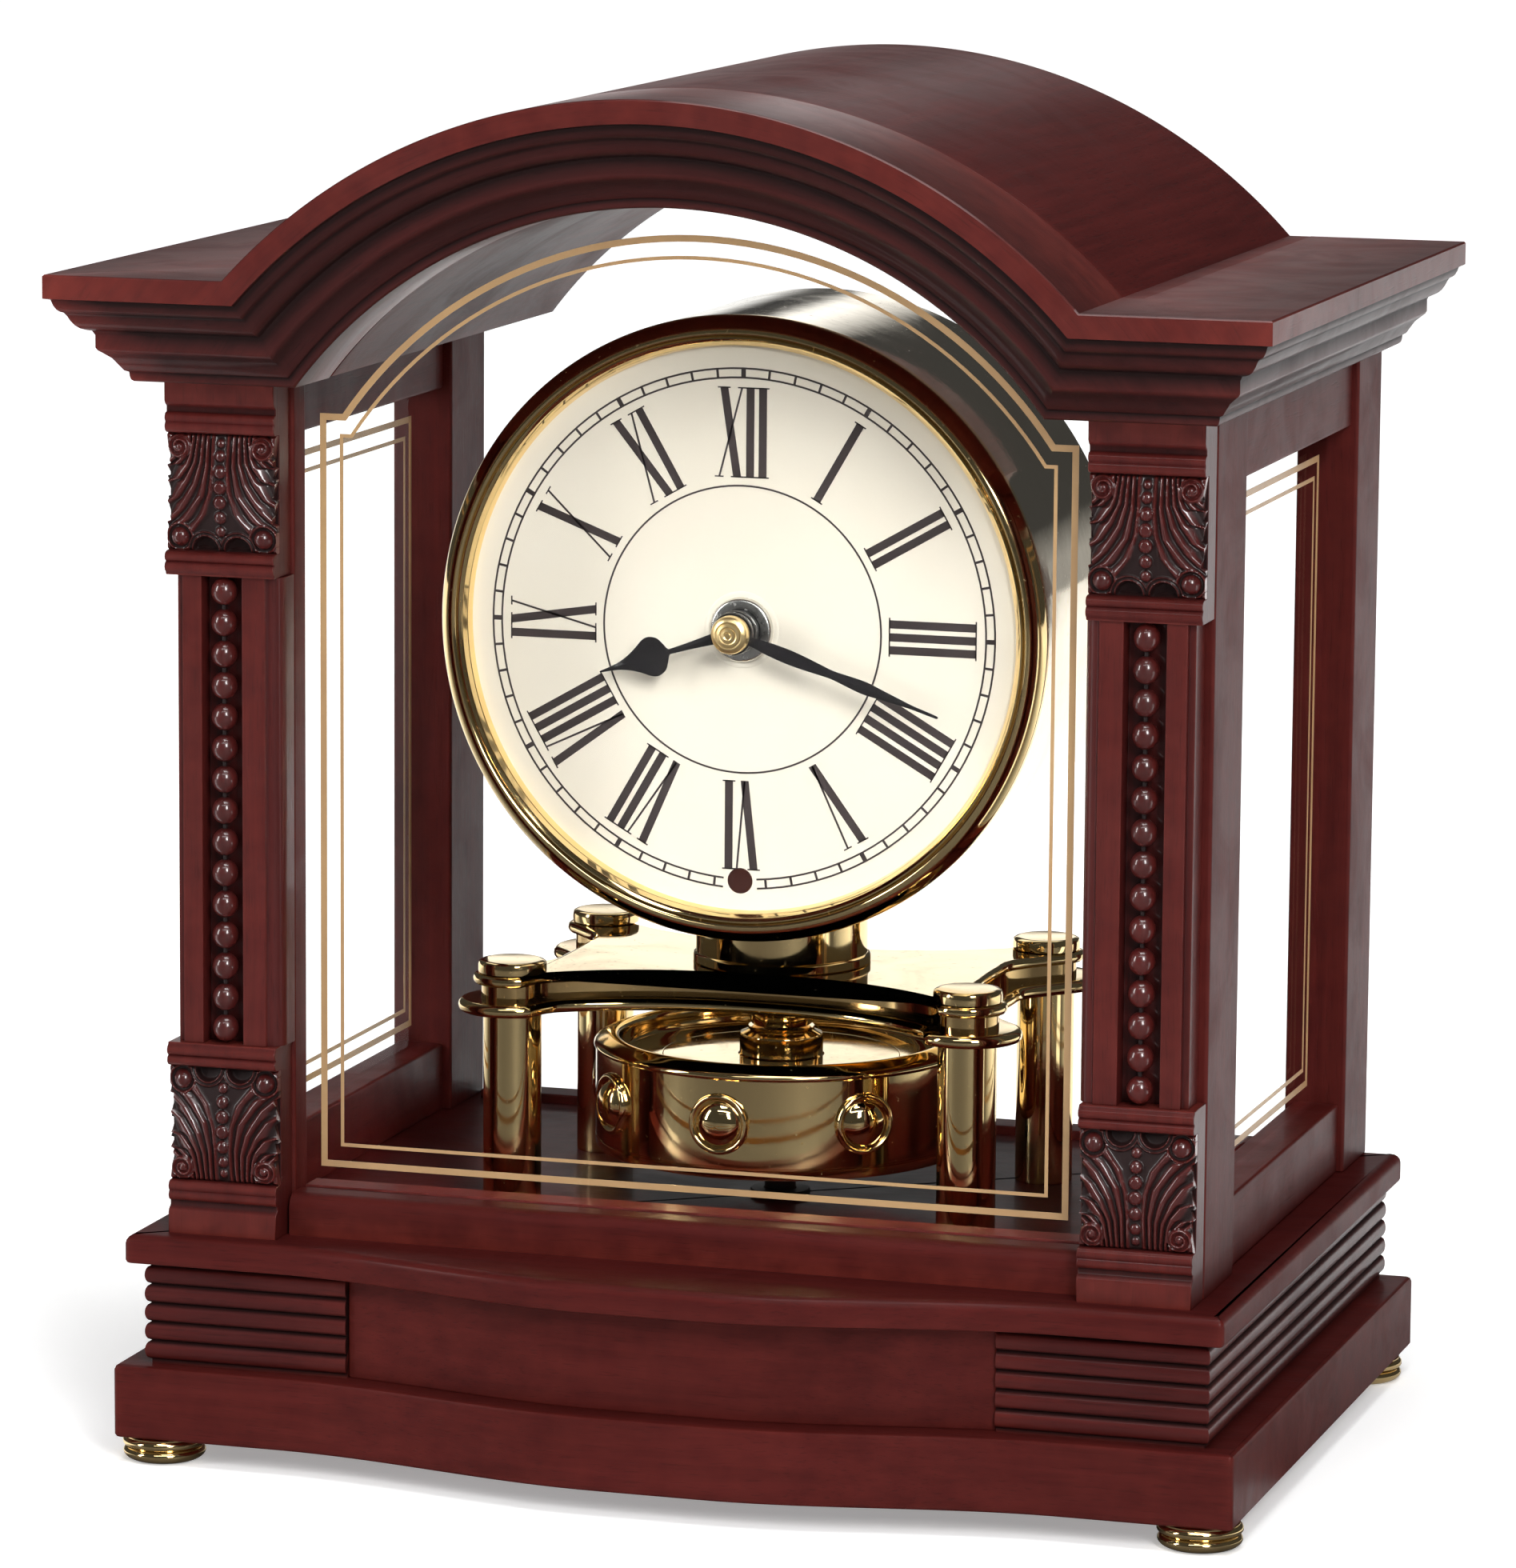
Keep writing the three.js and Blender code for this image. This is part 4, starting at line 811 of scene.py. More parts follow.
# ------------------------------------------------------------------ base
@dataclass
class Base:
    """The stepped base: feet, plinth, reeded band with a bowed apron, and the moulded shelf."""

    plinth_half: float = 122.6
    plinth_front: float = -78.2
    plinth_back: float = 94.3
    plinth_top: float = 21.4
    plinth_bow: float = 10.8
    shelf_half: float = 120.0
    shelf_bow: float = 12.5
    shelf_back: float = 92.2
    band_top: float = 43.6
    band_thickness: float = 12.0
    reed_face: float = 116.6
    reed_front: float = -74.8
    reed_count: int = 5
    reed_pitch: float = 4.1
    reed_depth: float = 1.2
    apron_half: float = 71.05
    apron_front: float = -72.0
    foot_x: float = 114.0
    foot_y: tuple = (("front", -70.2), ("rear", 81.8))
    swell_end: float = 86.0
    swell_run: float = 74.0
    lip_front: float = 82.3
    lip_z: tuple = (49.0, 51.9)

    def plan(self, half: float, front: float, back: float, bow: float, corner: float = 0.9) -> np.ndarray:
        """Plan of a bowed board: the front swells by a smooth step, from the swell's end inward.

        Args:
            half: half its width.
            front: y of its front at the ends.
            back: y of its back.
            bow: how far the middle swells.
            corner: rounding of its corners.

        Returns:
            The closed plan.
        """
        x = np.linspace(-half, half, 65)
        y = front - bow * step(self.swell_end - np.abs(x), 0, self.swell_run)
        return soften([*zip(x, y), (half, back), (-half, back)], corner)

    def slab(self, name: str, plan: np.ndarray, levels: list) -> Solid:
        """A board whose plan shrinks by each level's amount at its height.

        Args:
            name: the piece's name.
            plan: the closed plan.
            levels: height and shrinkage, from the bottom up.

        Returns:
            The board, not yet made.
        """
        solid = Solid(name)
        solid.loft(np.array([np.insert(inset(plan, amount), 2, z, axis=1) for z, amount in levels]))
        return solid

    def reeds(self) -> np.ndarray:
        """Section of the reeded band as (setback, height): half circles one above another.

        Returns:
            The closed section.
        """
        foot = self.plinth_top + (self.band_top - self.plinth_top - self.reed_count * self.reed_pitch) / 2
        share = np.linspace(0, 1, 11)[:-1]
        reed = np.arange(self.reed_count)[:, None]
        z = foot + (reed + share) * self.reed_pitch
        swell = np.clip(1 - (2 * share - 1) ** 2, 0, 1) ** 0.5
        back = np.broadcast_to(self.reed_depth * (1 - swell), z.shape)
        ends = [[self.reed_depth, self.plinth_top], [self.reed_depth, self.band_top]]
        inner = [[self.band_thickness, self.band_top], [self.band_thickness, self.plinth_top]]
        line = np.stack([back.ravel(), z.ravel()], -1)
        top = [[self.reed_depth, foot + self.reed_count * self.reed_pitch]]
        return np.vstack([ends[:1], line, top, ends[1:], inner])

    def corner(self, side: str) -> None:
        """The reeded band round one corner: its section is mitred where the legs meet.

        Args:
            side: right or left.
        """
        back, z = self.reeds().T
        start = np.stack([np.full_like(z, self.apron_half + 0.15), self.reed_front + back, z], -1)
        mitre = np.stack([self.reed_face - back, self.reed_front + back, z], -1)
        end = np.stack([self.reed_face - back, np.full_like(z, self.shelf_back), z], -1)
        share = np.array([0, 0.25, 0.5, 0.75, 0.994, 1])[:, None, None]
        rings = np.vstack([start + (mitre - start) * share, mitre + (end - mitre) * share[1:]])
        solid = Solid(f"reeded_band_{side}", mirrored=side == "left")
        solid.loft(rings, shelter=sheltered(self.reeds()))
        solid.make(MOULDED_WOOD, "case", [f"reeded_corner_{side}"], "case_wood", 50)

    def foot(self, side: str, end: str, y: float) -> None:
        """A turned brass foot: a bun below, a cove and a flange above.

        Args:
            side: right or left.
            end: front or rear.
            y: where it stands.
        """
        profile = smooth_line([(0.01, 0), (5.8, 0), (7.6, 0.35), (8.6, 1.1), (8.9, 1.9), (8.5, 2.6),
                               (8.1, 2.85), (8.5, 3.15), (9, 3.7), (8.9, 4.5), (8.3, 5), (7.6, 5.4),
                               (0.01, 5.4)], 3)
        profile = np.clip(profile, [0, 0], [9, 5.4])
        solid = Solid(f"brass_foot_{end}_{side}", Grain.Z, side == "left")
        solid.revolve(profile, 44, (self.foot_x, y))
        solid.make(BRASS, "case", [f"foot_{end}_{side}"], "polished_brass")

    def build(self) -> None:
        """Makes the base from the floor up."""
        levels = [(5.4, 1.0), (5.6, 0.45), (6.2, 0), (20.3, 0), (21.05, 0.35), (21.4, 1.1)]
        plan = self.plan(self.plinth_half, self.plinth_front, self.plinth_back, self.plinth_bow, 1.2)
        self.slab("bowed_plinth", plan, levels).make(CASE_WOOD, "case", ["base_plinth"], "case_wood")

        levels = [(43.6, 0.8), (43.8, 0.3), (44.4, 0), (47.9, 0), (48.7, 0.2), (49.35, 0.75), (49.75, 1.5),
                  (49.9, 2.4)]
        plan = self.plan(self.shelf_half, self.plinth_front + 0.2, self.shelf_back, self.shelf_bow, 1.4)
        shelf = self.slab("moulded_shelf", plan, levels)
        shelf.board((-CROWN_INNER, CROWN_INNER), (self.lip_front, CROWN_BACK), self.lip_z, Axis.X)
        shelf.make(CASE_WOOD, "case", ["base_shelf"], "case_wood")

        plan = self.plan(self.apron_half, self.apron_front, self.reed_front + self.band_thickness,
                         self.plinth_bow, 0.5)
        levels = [(self.plinth_top, 0.3), (self.plinth_top + 0.4, 0), (self.band_top - 0.4, 0),
                  (self.band_top, 0.3)]
        self.slab("bowed_apron", plan, levels).make(CASE_WOOD, "case", ["base_front_apron"], "case_wood")

        rail = Solid("plain_back_rail")
        inner = self.reed_face - self.band_thickness
        rail.board((-inner, inner), (self.shelf_back - 8, self.shelf_back), (self.plinth_top, self.band_top),
                   Axis.X)
        rail.make(BACK_WOOD, "case", ["base_back_rail"], "dark_wood")
        for side in SIDES:
            self.corner(side)
            for end, y in self.foot_y:
                self.foot(side, end, y)


# ------------------------------------------------------------------ case and glazing
@dataclass
class Case:
    """The four posts, the rails and sill between them, and the lined glass."""

    post_inner: float = 86.8
    rear_inner: float = 97.4
    post_outer: float = 112.1
    post_front: float = -62.8
    flange_back: float = -55.3
    post_back: float = -36.9
    rear_front: float = 67.3
    rail_x: tuple = (99.4, 110.6)
    lower_rail: float = 65.4
    upper_rail: float = 216.4
    glass_x: tuple = (102.7, 105.1)
    sill_front: float = -66.9
    sill_back: float = -49.9
    sill_top: float = 58.8
    bite: float = 2.7
    pane_front: float = -59.2
    pane_back: float = -56.8
    line_proud: float = 0.06
    front_lines: tuple = (("outer", 1.4, (81.5, 224.2, 76.8, 64.4, 264.3)),
                          ("inner", 0.75, (77.4, 220.3, 75.2, 68.6, 260.3)))
    side_lines: tuple = (("outer", -28.7, 59.1, 71.3, 210.0, 1.4), ("inner", -24.9, 55.3, 74.9, 206.0, 0.9))

    def posts(self, side: str) -> None:
        """A front post with its flange behind the pilaster, and a square rear post.

        Args:
            side: right or left.
        """
        left = side == "left"
        front = Solid(f"front_post_{side}", Grain.Z, left)
        plan = [(self.post_inner, self.post_front), (self.post_outer, self.post_front),
                (self.post_outer, self.post_back), (self.rear_inner, self.post_back),
                (self.rear_inner, self.flange_back), (self.post_inner, self.flange_back)]
        front.prism(soften(plan, 0.8), Axis.Z, FLOOR, SOFFIT, 0.2)
        front.make(CASE_WOOD, "case", [f"corner_post_front_{side}"], "case_wood")
        rear = Solid(f"rear_post_{side}", Grain.Z, left)
        rear.board((self.rear_inner, self.post_outer), (self.rear_front, CROWN_BACK), (FLOOR, SOFFIT), Axis.Z,
                   0.8)
        rear.make(CASE_WOOD, "case", [f"corner_post_rear_{side}"], "case_wood")

    def rails(self, side: str) -> None:
        """The lower and upper rails of one side.

        Args:
            side: right or left.
        """
        for place, z in (("bottom", (FLOOR, self.lower_rail)), ("top", (self.upper_rail, SOFFIT))):
            rail = Solid(f"side_rail_{place}_{side}_board", Grain.Y, side == "left")
            rail.board(self.rail_x, (self.post_back, self.rear_front), z, Axis.Y, 0.7)
            rail.make(CASE_WOOD, "case", [f"side_rail_{place}_{side}"], "case_wood")

    def sill(self) -> None:
        """The sill under the front glass, its front top edge a quarter round."""
        nose = arc(self.sill_front + 3.2, self.sill_top - 3.2, 3.2, 180, 90, 8)
        outline = [(self.sill_back, FLOOR), (self.sill_front, FLOOR), *nose, (GLAZING_FRONT, self.sill_top),
                   (self.pane_front, self.sill_top - 0.5), (self.pane_back, self.sill_top - 0.5),
                   (GLAZING_BACK, self.sill_top), (self.sill_back, self.sill_top)]
        sill = Solid("front_sill_moulding")
        sill.prism(np.array(outline), Axis.X, -self.post_inner, self.post_inner, 0.2)
        sill.make(CASE_WOOD, "case", ["front_sill"], "case_wood", 30)

    def line(self, name: str, outline: np.ndarray, width: float, axis: Axis, face: float, proud: float,
             mirrored: bool) -> None:
        """A printed gold line: the outline shrunk and grown by half its width, a hair proud of the glass.

        Args:
            name: the piece's name.
            outline: the middle of the line, closed.
            width: its width.
            axis: the axis square to the glass.
            face: where the glass's face lies on that axis.
            proud: how far, and which way, it stands off the face.
            mirrored: whether x is turned over.
        """
        inner, outer = inset(outline, width / 2), inset(outline, -width / 2)
        corners = [(outer, face + proud), (inner, face + proud), (inner, face - proud), (outer, face - proud)]
        rings = np.stack([np.insert(flat, axis.value, place, axis=1) for flat, place in corners], axis=1)
        solid = Solid(name, mirrored=mirrored)
        solid.loft(rings, loop=True)
        piece = solid.make(GOLD_LINE, "case", [], "pane_glass")
        piece.visible_shadow = False

    def front_line(self, half: float, step_z: float, step_x: float, low: float, apex: float) -> np.ndarray:
        """Outline of a front line: upright sides, a small step in, and an arc up to its apex.

        Args:
            half: half its width.
            step_z: height of the step.
            step_x: half the width above the step.
            low: its bottom.
            apex: top of the arc.

        Returns:
            The closed outline.
        """
        drop = apex - step_z
        radius = (step_x**2 + drop**2) / (2 * drop)
        turn = math.degrees(math.asin(step_x / radius))
        return np.vstack([[(-half, low), (half, low), (half, step_z)],
                          arc(0, apex - radius, radius, 90 - turn, 90 + turn, 49), [(-half, step_z)]])

    def glazing(self) -> None:
        """The arched front pane and the two side panes, with their gold lines."""
        half = self.post_inner + self.bite
        radius = CEILING_RADIUS + self.bite
        rise = math.degrees(math.asin((SOFFIT - 0.3 - ARCH_CENTRE) / radius))
        bottom = self.sill_top - self.bite
        outline = np.vstack([[(-half, bottom), (half, bottom), (half, SOFFIT - 0.3)],
                             arc(0, ARCH_CENTRE, radius, rise, 180 - rise, 61), [(-half, SOFFIT - 0.3)]])
        pane = Solid("front_pane")
        pane.prism(outline, Axis.Y, self.pane_front, self.pane_back, 0.05)
        panes = [pane.make(GLASS, "case", ["front_glass"], "pane_glass")]
        for label, width, sizes in self.front_lines:
            self.line(f"front_gold_line_{label}", self.front_line(*sizes), width, Axis.Y,
                      self.pane_front - 0.02, -self.line_proud, False)
        for side in SIDES:
            left = side == "left"
            pane = Solid(f"side_pane_{side}", Grain.Z, left)
            pane.board(self.glass_x, (self.post_back - self.bite, self.rear_front + self.bite),
                       (self.lower_rail - self.bite, self.upper_rail + self.bite), Axis.Z, 0.08)
            panes.append(pane.make(GLASS, "case", [f"side_glass_{side}"], "pane_glass"))
            for label, y0, y1, z0, z1, width in self.side_lines:
                outline = np.array([(y0, z0), (y1, z0), (y1, z1), (y0, z1)])
                self.line(f"side_gold_line_{label}_{side}", outline, width, Axis.X, self.glass_x[1] + 0.02,
                          self.line_proud, left)
        for pane in panes:
            pane.visible_shadow = False

    def build(self) -> None:
        """Makes the posts, rails, sill and glass."""
        for side in SIDES:
            self.posts(side)
            self.rails(side)
        self.sill()
        self.glazing()


# ------------------------------------------------------------------ crown
@dataclass
class Crown:
    """The arched crown: one moulding along the shoulders and over the arch, and the roof behind."""

    profile: tuple = (
        (0, 0.35), (0, 5), (0.9, 5.2), (1.3, 5.3), (1.7, 6.5), (2.2, 7.35), (2.7, 7.8), (3.4, 8.1),
        (3.9, 8.8), (4.4, 9.8), (5.1, 10.8), (5.95, 11.5), (7.0, 11.9), (7.85, 12.1), (8.35, 13.0),
        (8.35, 15.6), (8.7, 16.2), (9.7, 16.95), (11.0, 18.0), (11.9, 19.25), (12.9, 20.65), (13.7, 21.0),
        (13.8, 21.9), (14.0, 22.6), (14.5, 23.0),
    )
    mitre: float = 34.8

    def section(self) -> tuple:
        """The moulding's section as setbacks and drops, closed behind."""
        profile = np.array([(0.35, 0), *self.profile, (self.mitre, 23.0), (self.mitre, 0.0)])
        return profile.T

    def front(self) -> None:
        """The front run: level, mitred into the arch, over it and level again.

        At each drop the arch's radius is the outer radius less the drop, and it starts where that
        circle meets the level moulding's own height.
        """
        back, drop = self.section()
        radius = ARCH_RADIUS - drop
        level = SHOULDER - drop
        foot = np.arctan2(level - ARCH_CENTRE, np.sqrt(radius**2 - (level - ARCH_CENTRE) ** 2))
        share = np.linspace(0, 1, 97)[:, None]
        turn = foot + (math.pi - 2 * foot) * share
        y = np.broadcast_to(FRONT + back, turn.shape)
        over = np.stack([radius * np.cos(turn), y, ARCH_CENTRE + radius * np.sin(turn)], -1)
        right = np.stack([CROWN_HALF - back, FRONT + back, level], -1)
        left = right * [-1, 1, 1]
        ease = np.linspace(0, 1, 4)[:-1, None, None]
        leaving = over[-1] + (left - over[-1]) * (1 - ease[::-1])
        rings = np.vstack([right + (over[0] - right) * ease, over, leaving])
        solid = Solid("arched_front_moulding", Grain.ARCH)
        solid.loft(rings, shelter=sheltered(np.stack([back, -drop], -1)))
        solid.make(MOULDED_WOOD, "case", ["crown_front_moulding"], "case_wood", 33)

    def side(self, side: str) -> None:
        """The return of the moulding along one side, mitred at the front.

        Args:
            side: right or left.
        """
        back, drop = self.section()
        z = SHOULDER - drop
        start = np.stack([CROWN_HALF - back, FRONT + back, z], -1)
        end = np.stack([CROWN_HALF - back, np.full_like(z, CROWN_BACK), z], -1)
        share = np.array([0, 0.2, 0.4, 0.6, 0.8, 0.994, 1])[:, None, None]
        solid = Solid(f"crown_return_{side}", Grain.Y, side == "left")
        solid.loft(start + (end - start) * share, shelter=sheltered(np.stack([back, -drop], -1)))
        solid.make(MOULDED_WOOD, "case", [f"crown_side_{side}"], "case_wood", 33)

    def vault(self) -> None:
        """The barrel roof: an arch over level shoulders, slotted for the glass and open beneath."""
        rise = math.degrees(math.asin((SHOULDER - ARCH_CENTRE) / ARCH_RADIUS))

        def outline(inner: float, shrink: float) -> np.ndarray:
            """Section of the roof for one inner radius, with its outside shrunk a little.

            Args:
                inner: radius of the hollow beneath.
                shrink: how far the outside is shrunk.

            Returns:
                The closed outline.
            """
            start = math.degrees(math.asin((SOFFIT - ARCH_CENTRE) / inner))
            over = arc(0, ARCH_CENTRE, ARCH_RADIUS - shrink, rise, 180 - rise, 97)
            under = arc(0, ARCH_CENTRE, inner, 180 - start, start, 97)
            return np.vstack([[(CROWN_INNER, SOFFIT), (CROWN_INNER, SHOULDER - shrink)], over,
                              [(-CROWN_INNER, SHOULDER - shrink), (-CROWN_INNER, SOFFIT)], under])

        slot = CEILING_RADIUS + 3
        stops = [(GLAZING_FRONT, slot, 0.25), (GLAZING_FRONT + 0.25, slot, 0), (GLAZING_BACK, slot, 0),
                 (GLAZING_BACK, CEILING_RADIUS, 0), (10, CEILING_RADIUS, 0), (88.8, CEILING_RADIUS, 0),
                 (88.8, CEILING_RADIUS + 1.5, 0), (CROWN_BACK - 0.5, CEILING_RADIUS + 1.5, 0),
                 (CROWN_BACK, CEILING_RADIUS + 1.5, 0.5)]
        rings = [np.insert(outline(inner, shrink), 1, y, axis=1) for y, inner, shrink in stops]
        solid = Solid("barrel_roof", Grain.Y)
        solid.loft(np.array(rings))
        solid.make(ROOF_WOOD, "case", ["roof_vault"], "case_wood", 33)

    def build(self) -> None:
        """Makes the crown."""
        self.front()
        for side in SIDES:
            self.side(side)
        self.vault()


# ------------------------------------------------------------------ pilasters
@dataclass
class Pilasters:
    """The two pilasters: carved capitals above and below a channelled shaft with a string of beads."""

    face: float = -72.8
    back: float = -62.8
    width: float = 24.4
    height: float = 41.3
    carve_low: float = 11.4
    carve_high: float = 36.2
    shaft_front: float = -71.6
    bead_radius: float = 2.78
    bead_y: float = -69.9
    bead_count: int = 15
    scroll: tuple = (9.2, 22.0)
    ball: tuple = (9.3, 2.9)
    bowl: tuple = (3.6, 0.3)
    spine: tuple = ((22.9, 1.15), (20.3, 1.4), (17, 1.6), (13.7, 1.65), (10.5, 1.6), (7.3, 1.5), (4.3, 1.3))
    rims: tuple = (
        ((3, 8, 13, 17.7, 23.5), (7.4, 3.5, 1.9, 1.6, 1.7)),
        ((3.4, 6.7, 11.8, 17.7, 23.5), (13.2, 8, 4.1, 2.9, 2.9)),
        ((5.4, 8.8, 14.3, 18.8, 23.5), (13.2, 9, 5.5, 4.2, 4.0)),
        ((9.7, 11.2, 14.6, 18.8, 23.5), (13.2, 10.2, 7.7, 5.6, 5.1)),
        ((14.3, 15.2, 17.7, 20, 23.5), (13.2, 9.6, 7.4, 6.6, 6.1)),
        ((17.8, 18.2, 19.7, 21.5, 23.5), (13.2, 10, 8.2, 7.4, 7.0)),
    )

    def carving(self) -> tuple:
        """The leaf carving of an upper capital, over a gentle swell.

        Each rim is a line x(z); the space between two rims is one channel, and the flow number
        rises by one from rim to rim. Height is 0.85 times the cosine of pi times the flow number,
        made positive and raised to 1.5, so that rims stand up as ridges between hollow channels.
        Beads, balls and volutes are domes: the root of radius squared less distance squared.

        Returns:
            The grid of points, and how hollow each one is.
        """
        z = np.linspace(0, self.carve_high - self.carve_low, 152)[:, None]
        tips = np.interp(z, [0, 6.0, 6.3, 11.3, 11.6, 15.6, 15.9, 18.0, 18.3, 24.8],
                         [12.15, 12.15, 11.2, 12.15, 11.2, 12.15, 11.3, 12.15, 11.4, 12.1])
        x = np.linspace(-1, 1, 151)[None, :] * tips
        out = np.abs(x)
        lines = np.stack([np.interp(z, *rim) + 0.03 * i + 0 * x for i, rim in enumerate(self.rims)])
        gaps = np.clip((out - lines[:-1]) / np.maximum(np.diff(lines, axis=0), 0.3), 0, 1)
        last = np.clip((out - lines[-1]) / 2.2, 0, 2)
        flow = 1 + gaps.sum(axis=0) + last
        leaf = 0.95 * np.abs(np.cos(np.pi * flow)) ** 1.5
        inside = out < lines[0]
        bank = 0.95 * np.exp(-((lines[0] - out) / 0.45))
        height = np.where(inside, bank, leaf)
        swell = 1.7 * (1 - (out / 12.4) ** 2) * np.sin(np.pi * np.clip(z / 24.8, 0.02, 0.98)) ** 0.7

        def dome(cx: float, cz: float, radius: float, lift: float) -> np.ndarray:
            """Height of a ball resting on the carving."""
            far = (out - cx) ** 2 + (z - cz) ** 2
            return np.where(far < radius**2, lift + np.sqrt(np.maximum(radius**2 - far, 0)), -9)

        for cz, radius in self.spine:
            height = np.maximum(height, dome(0, cz, radius, -0.35))
        cx, cz = self.scroll
        far = np.hypot(out - cx, z - cz)
        turn = np.arctan2(z - cz, out - cx) / (2 * math.pi)
        scroll = 1.15 + 0.42 * np.cos(2 * np.pi * (far / 1.15 - turn))
        edge = step(2.75 - far, 0, 0.4)
        height = height * (1 - edge) + scroll * edge
        height = np.maximum(height, dome(cx, cz, 0.8, 0.9))
        cx, cz = self.ball
        far = np.hypot(out - cx, z - cz)
        ring = np.exp(-(((far - 2.9) / 0.3) ** 2)) * 0.8
        edge = step(3.4 - far, 0, 0.5)
        height = height * (1 - edge) + ring * edge
        height = np.maximum(height, dome(cx, cz, 2.1, -0.2))
        far = np.hypot(out - self.bowl[0], z - self.bowl[1])
        rings = 0.55 * (np.exp(-(((far - 3.05) / 0.24) ** 2)) + np.exp(-(((far - 3.9) / 0.26) ** 2)))
        edge = step(4.3 - far, 0, 0.5)
        height = height * (1 - edge) + rings * edge
        sunk = step(2.8 - far, 0, 0.35)
        deep = height - sunk * (1.1 - 0.25 * (far / 2.8) ** 2 + 0.4)
        hollow = np.clip(1 - deep / 0.62, 0, 1)
        frame = np.minimum(np.minimum(z, 24.8 - z) / 0.5, 1)
        y = self.face + 2.3 - np.minimum(deep + swell, 2.75) * np.clip(frame, 0.15, 1)
        y = np.minimum(y, self.face + 3.9)
        top = SOFFIT - self.carve_high
        grid = np.stack([PILASTER_X + x, y, top + z + 0 * x], -1)
        return grid, hollow

    def capital(self, side: str, end: str) -> None:
        """A capital: a moulded block with the leaf carving let into it. The lower one is upside down.

        Args:
            side: right or left.
            end: upper or lower.
        """
        section = [(0, 0), (0, 4.6), (0.45, 5.3), (1.3, 5.9), (1.3, 6.9), (0.5, 7.15), (0.05, 7.8), (0, 8.4),
                   (0.45, 9.1), (0.05, 9.6), (0, 10.3), (0.4, 11), (1.0, 11.35), (3.4, 11.5), (3.4, 36.1),
                   (0.9, 36.2), (0.1, 36.5), (-0.3, 37.0), (-0.4, 37.5), (-0.2, 38.1), (0.3, 38.45),
                   (-0.3, 38.9), (-0.5, 39.6), (-0.3, 40.3), (0.3, 40.8), (0.4, self.height)]
        line = np.array([(self.face + back, SOFFIT - up) for back, up in section])
        outline = np.vstack([[(self.back, SOFFIT)], line, [(self.back, SOFFIT - self.height)]])
        solid = Solid(f"carved_capital_{end}_{side}", Grain.Z, side == "left")
        half = self.width / 2
        solid.prism(outline, Axis.X, PILASTER_X - half, PILASTER_X + half, 0.25)
        leaves = Solid(f"leaf_carving_{end}_{side}", Grain.Z, side == "left")
        grid, hollow = self.carving()
        leaves.relief(grid, self.face + 4.6, hollow)
        for piece, finish, nodes in ((solid, MOULDED_WOOD, [f"capital_{end}_{side}"]),
                                     (leaves, CARVED_WOOD, [])):
            if end == "lower":
                piece.points = [p * [1, 1, -1] + [0, 0, FLOOR + SOFFIT] for p in piece.points]
            piece.make(finish, "case", nodes, "case_wood", 60)

    def shaft(self, side: str) -> None:
        """The shaft: a channel between two flats, with a quarter round on its inner side.

        Args:
            side: right or left.
        """
        curve = [(x, d) for x, d in arc(-9.8, 4.0, 3.2, 270, 180, 7)]
        plan = [(10.4, 8.8), (10.4, 1.4), (8.9, 1.4), (8.9, 0), (4.45, 0), (4.45, 4.6), (-4.45, 4.6),
                (-4.45, 0), (-9.6, 0), *curve, (-13, 8.8)]
        outline = np.array([(PILASTER_X + x, self.shaft_front + depth) for x, depth in plan])
        solid = Solid(f"channelled_shaft_{side}", Grain.Z, side == "left")
        bottom, top = FLOOR + self.height, SOFFIT - self.height
        solid.prism(soften(outline, 0.35, 2), Axis.Z, bottom, top, 0.1)
        solid.make(MOULDED_WOOD, "case", [f"pilaster_shaft_{side}"], "case_wood", 40)

    def beads(self, side: str) -> None:
        """A turned string of beads: circles of 160 degrees, joined by thin necks.

        Args:
            side: right or left.
        """
        bottom, top = FLOOR + self.height, SOFFIT - self.height
        pitch = (top - bottom) / self.bead_count
        share = np.linspace(-1, 1, 17)
        radius = np.maximum(self.bead_radius * np.cos(share * 1.4), 0.5)
        z = bottom + (np.arange(self.bead_count)[:, None] + 0.5) * pitch
        z = z + self.bead_radius * 1.06 * np.sin(share * 1.4)
        profile = np.stack([np.broadcast_to(radius, z.shape).ravel(), z.ravel()], -1)
        profile = np.vstack([[(0.01, bottom)], profile, [(0.01, top)]])
        solid = Solid(f"bead_string_{side}_turned", Grain.Z, side == "left")
        solid.revolve(profile, 24, (PILASTER_X, self.bead_y))
        solid.make(CARVED_WOOD, "case", [f"bead_string_{side}"], "case_wood", 70)

    def build(self) -> None:
        """Makes both pilasters."""
        for side in SIDES:
            self.capital(side, "upper")
            self.capital(side, "lower")
            self.shaft(side)
            self.beads(side)


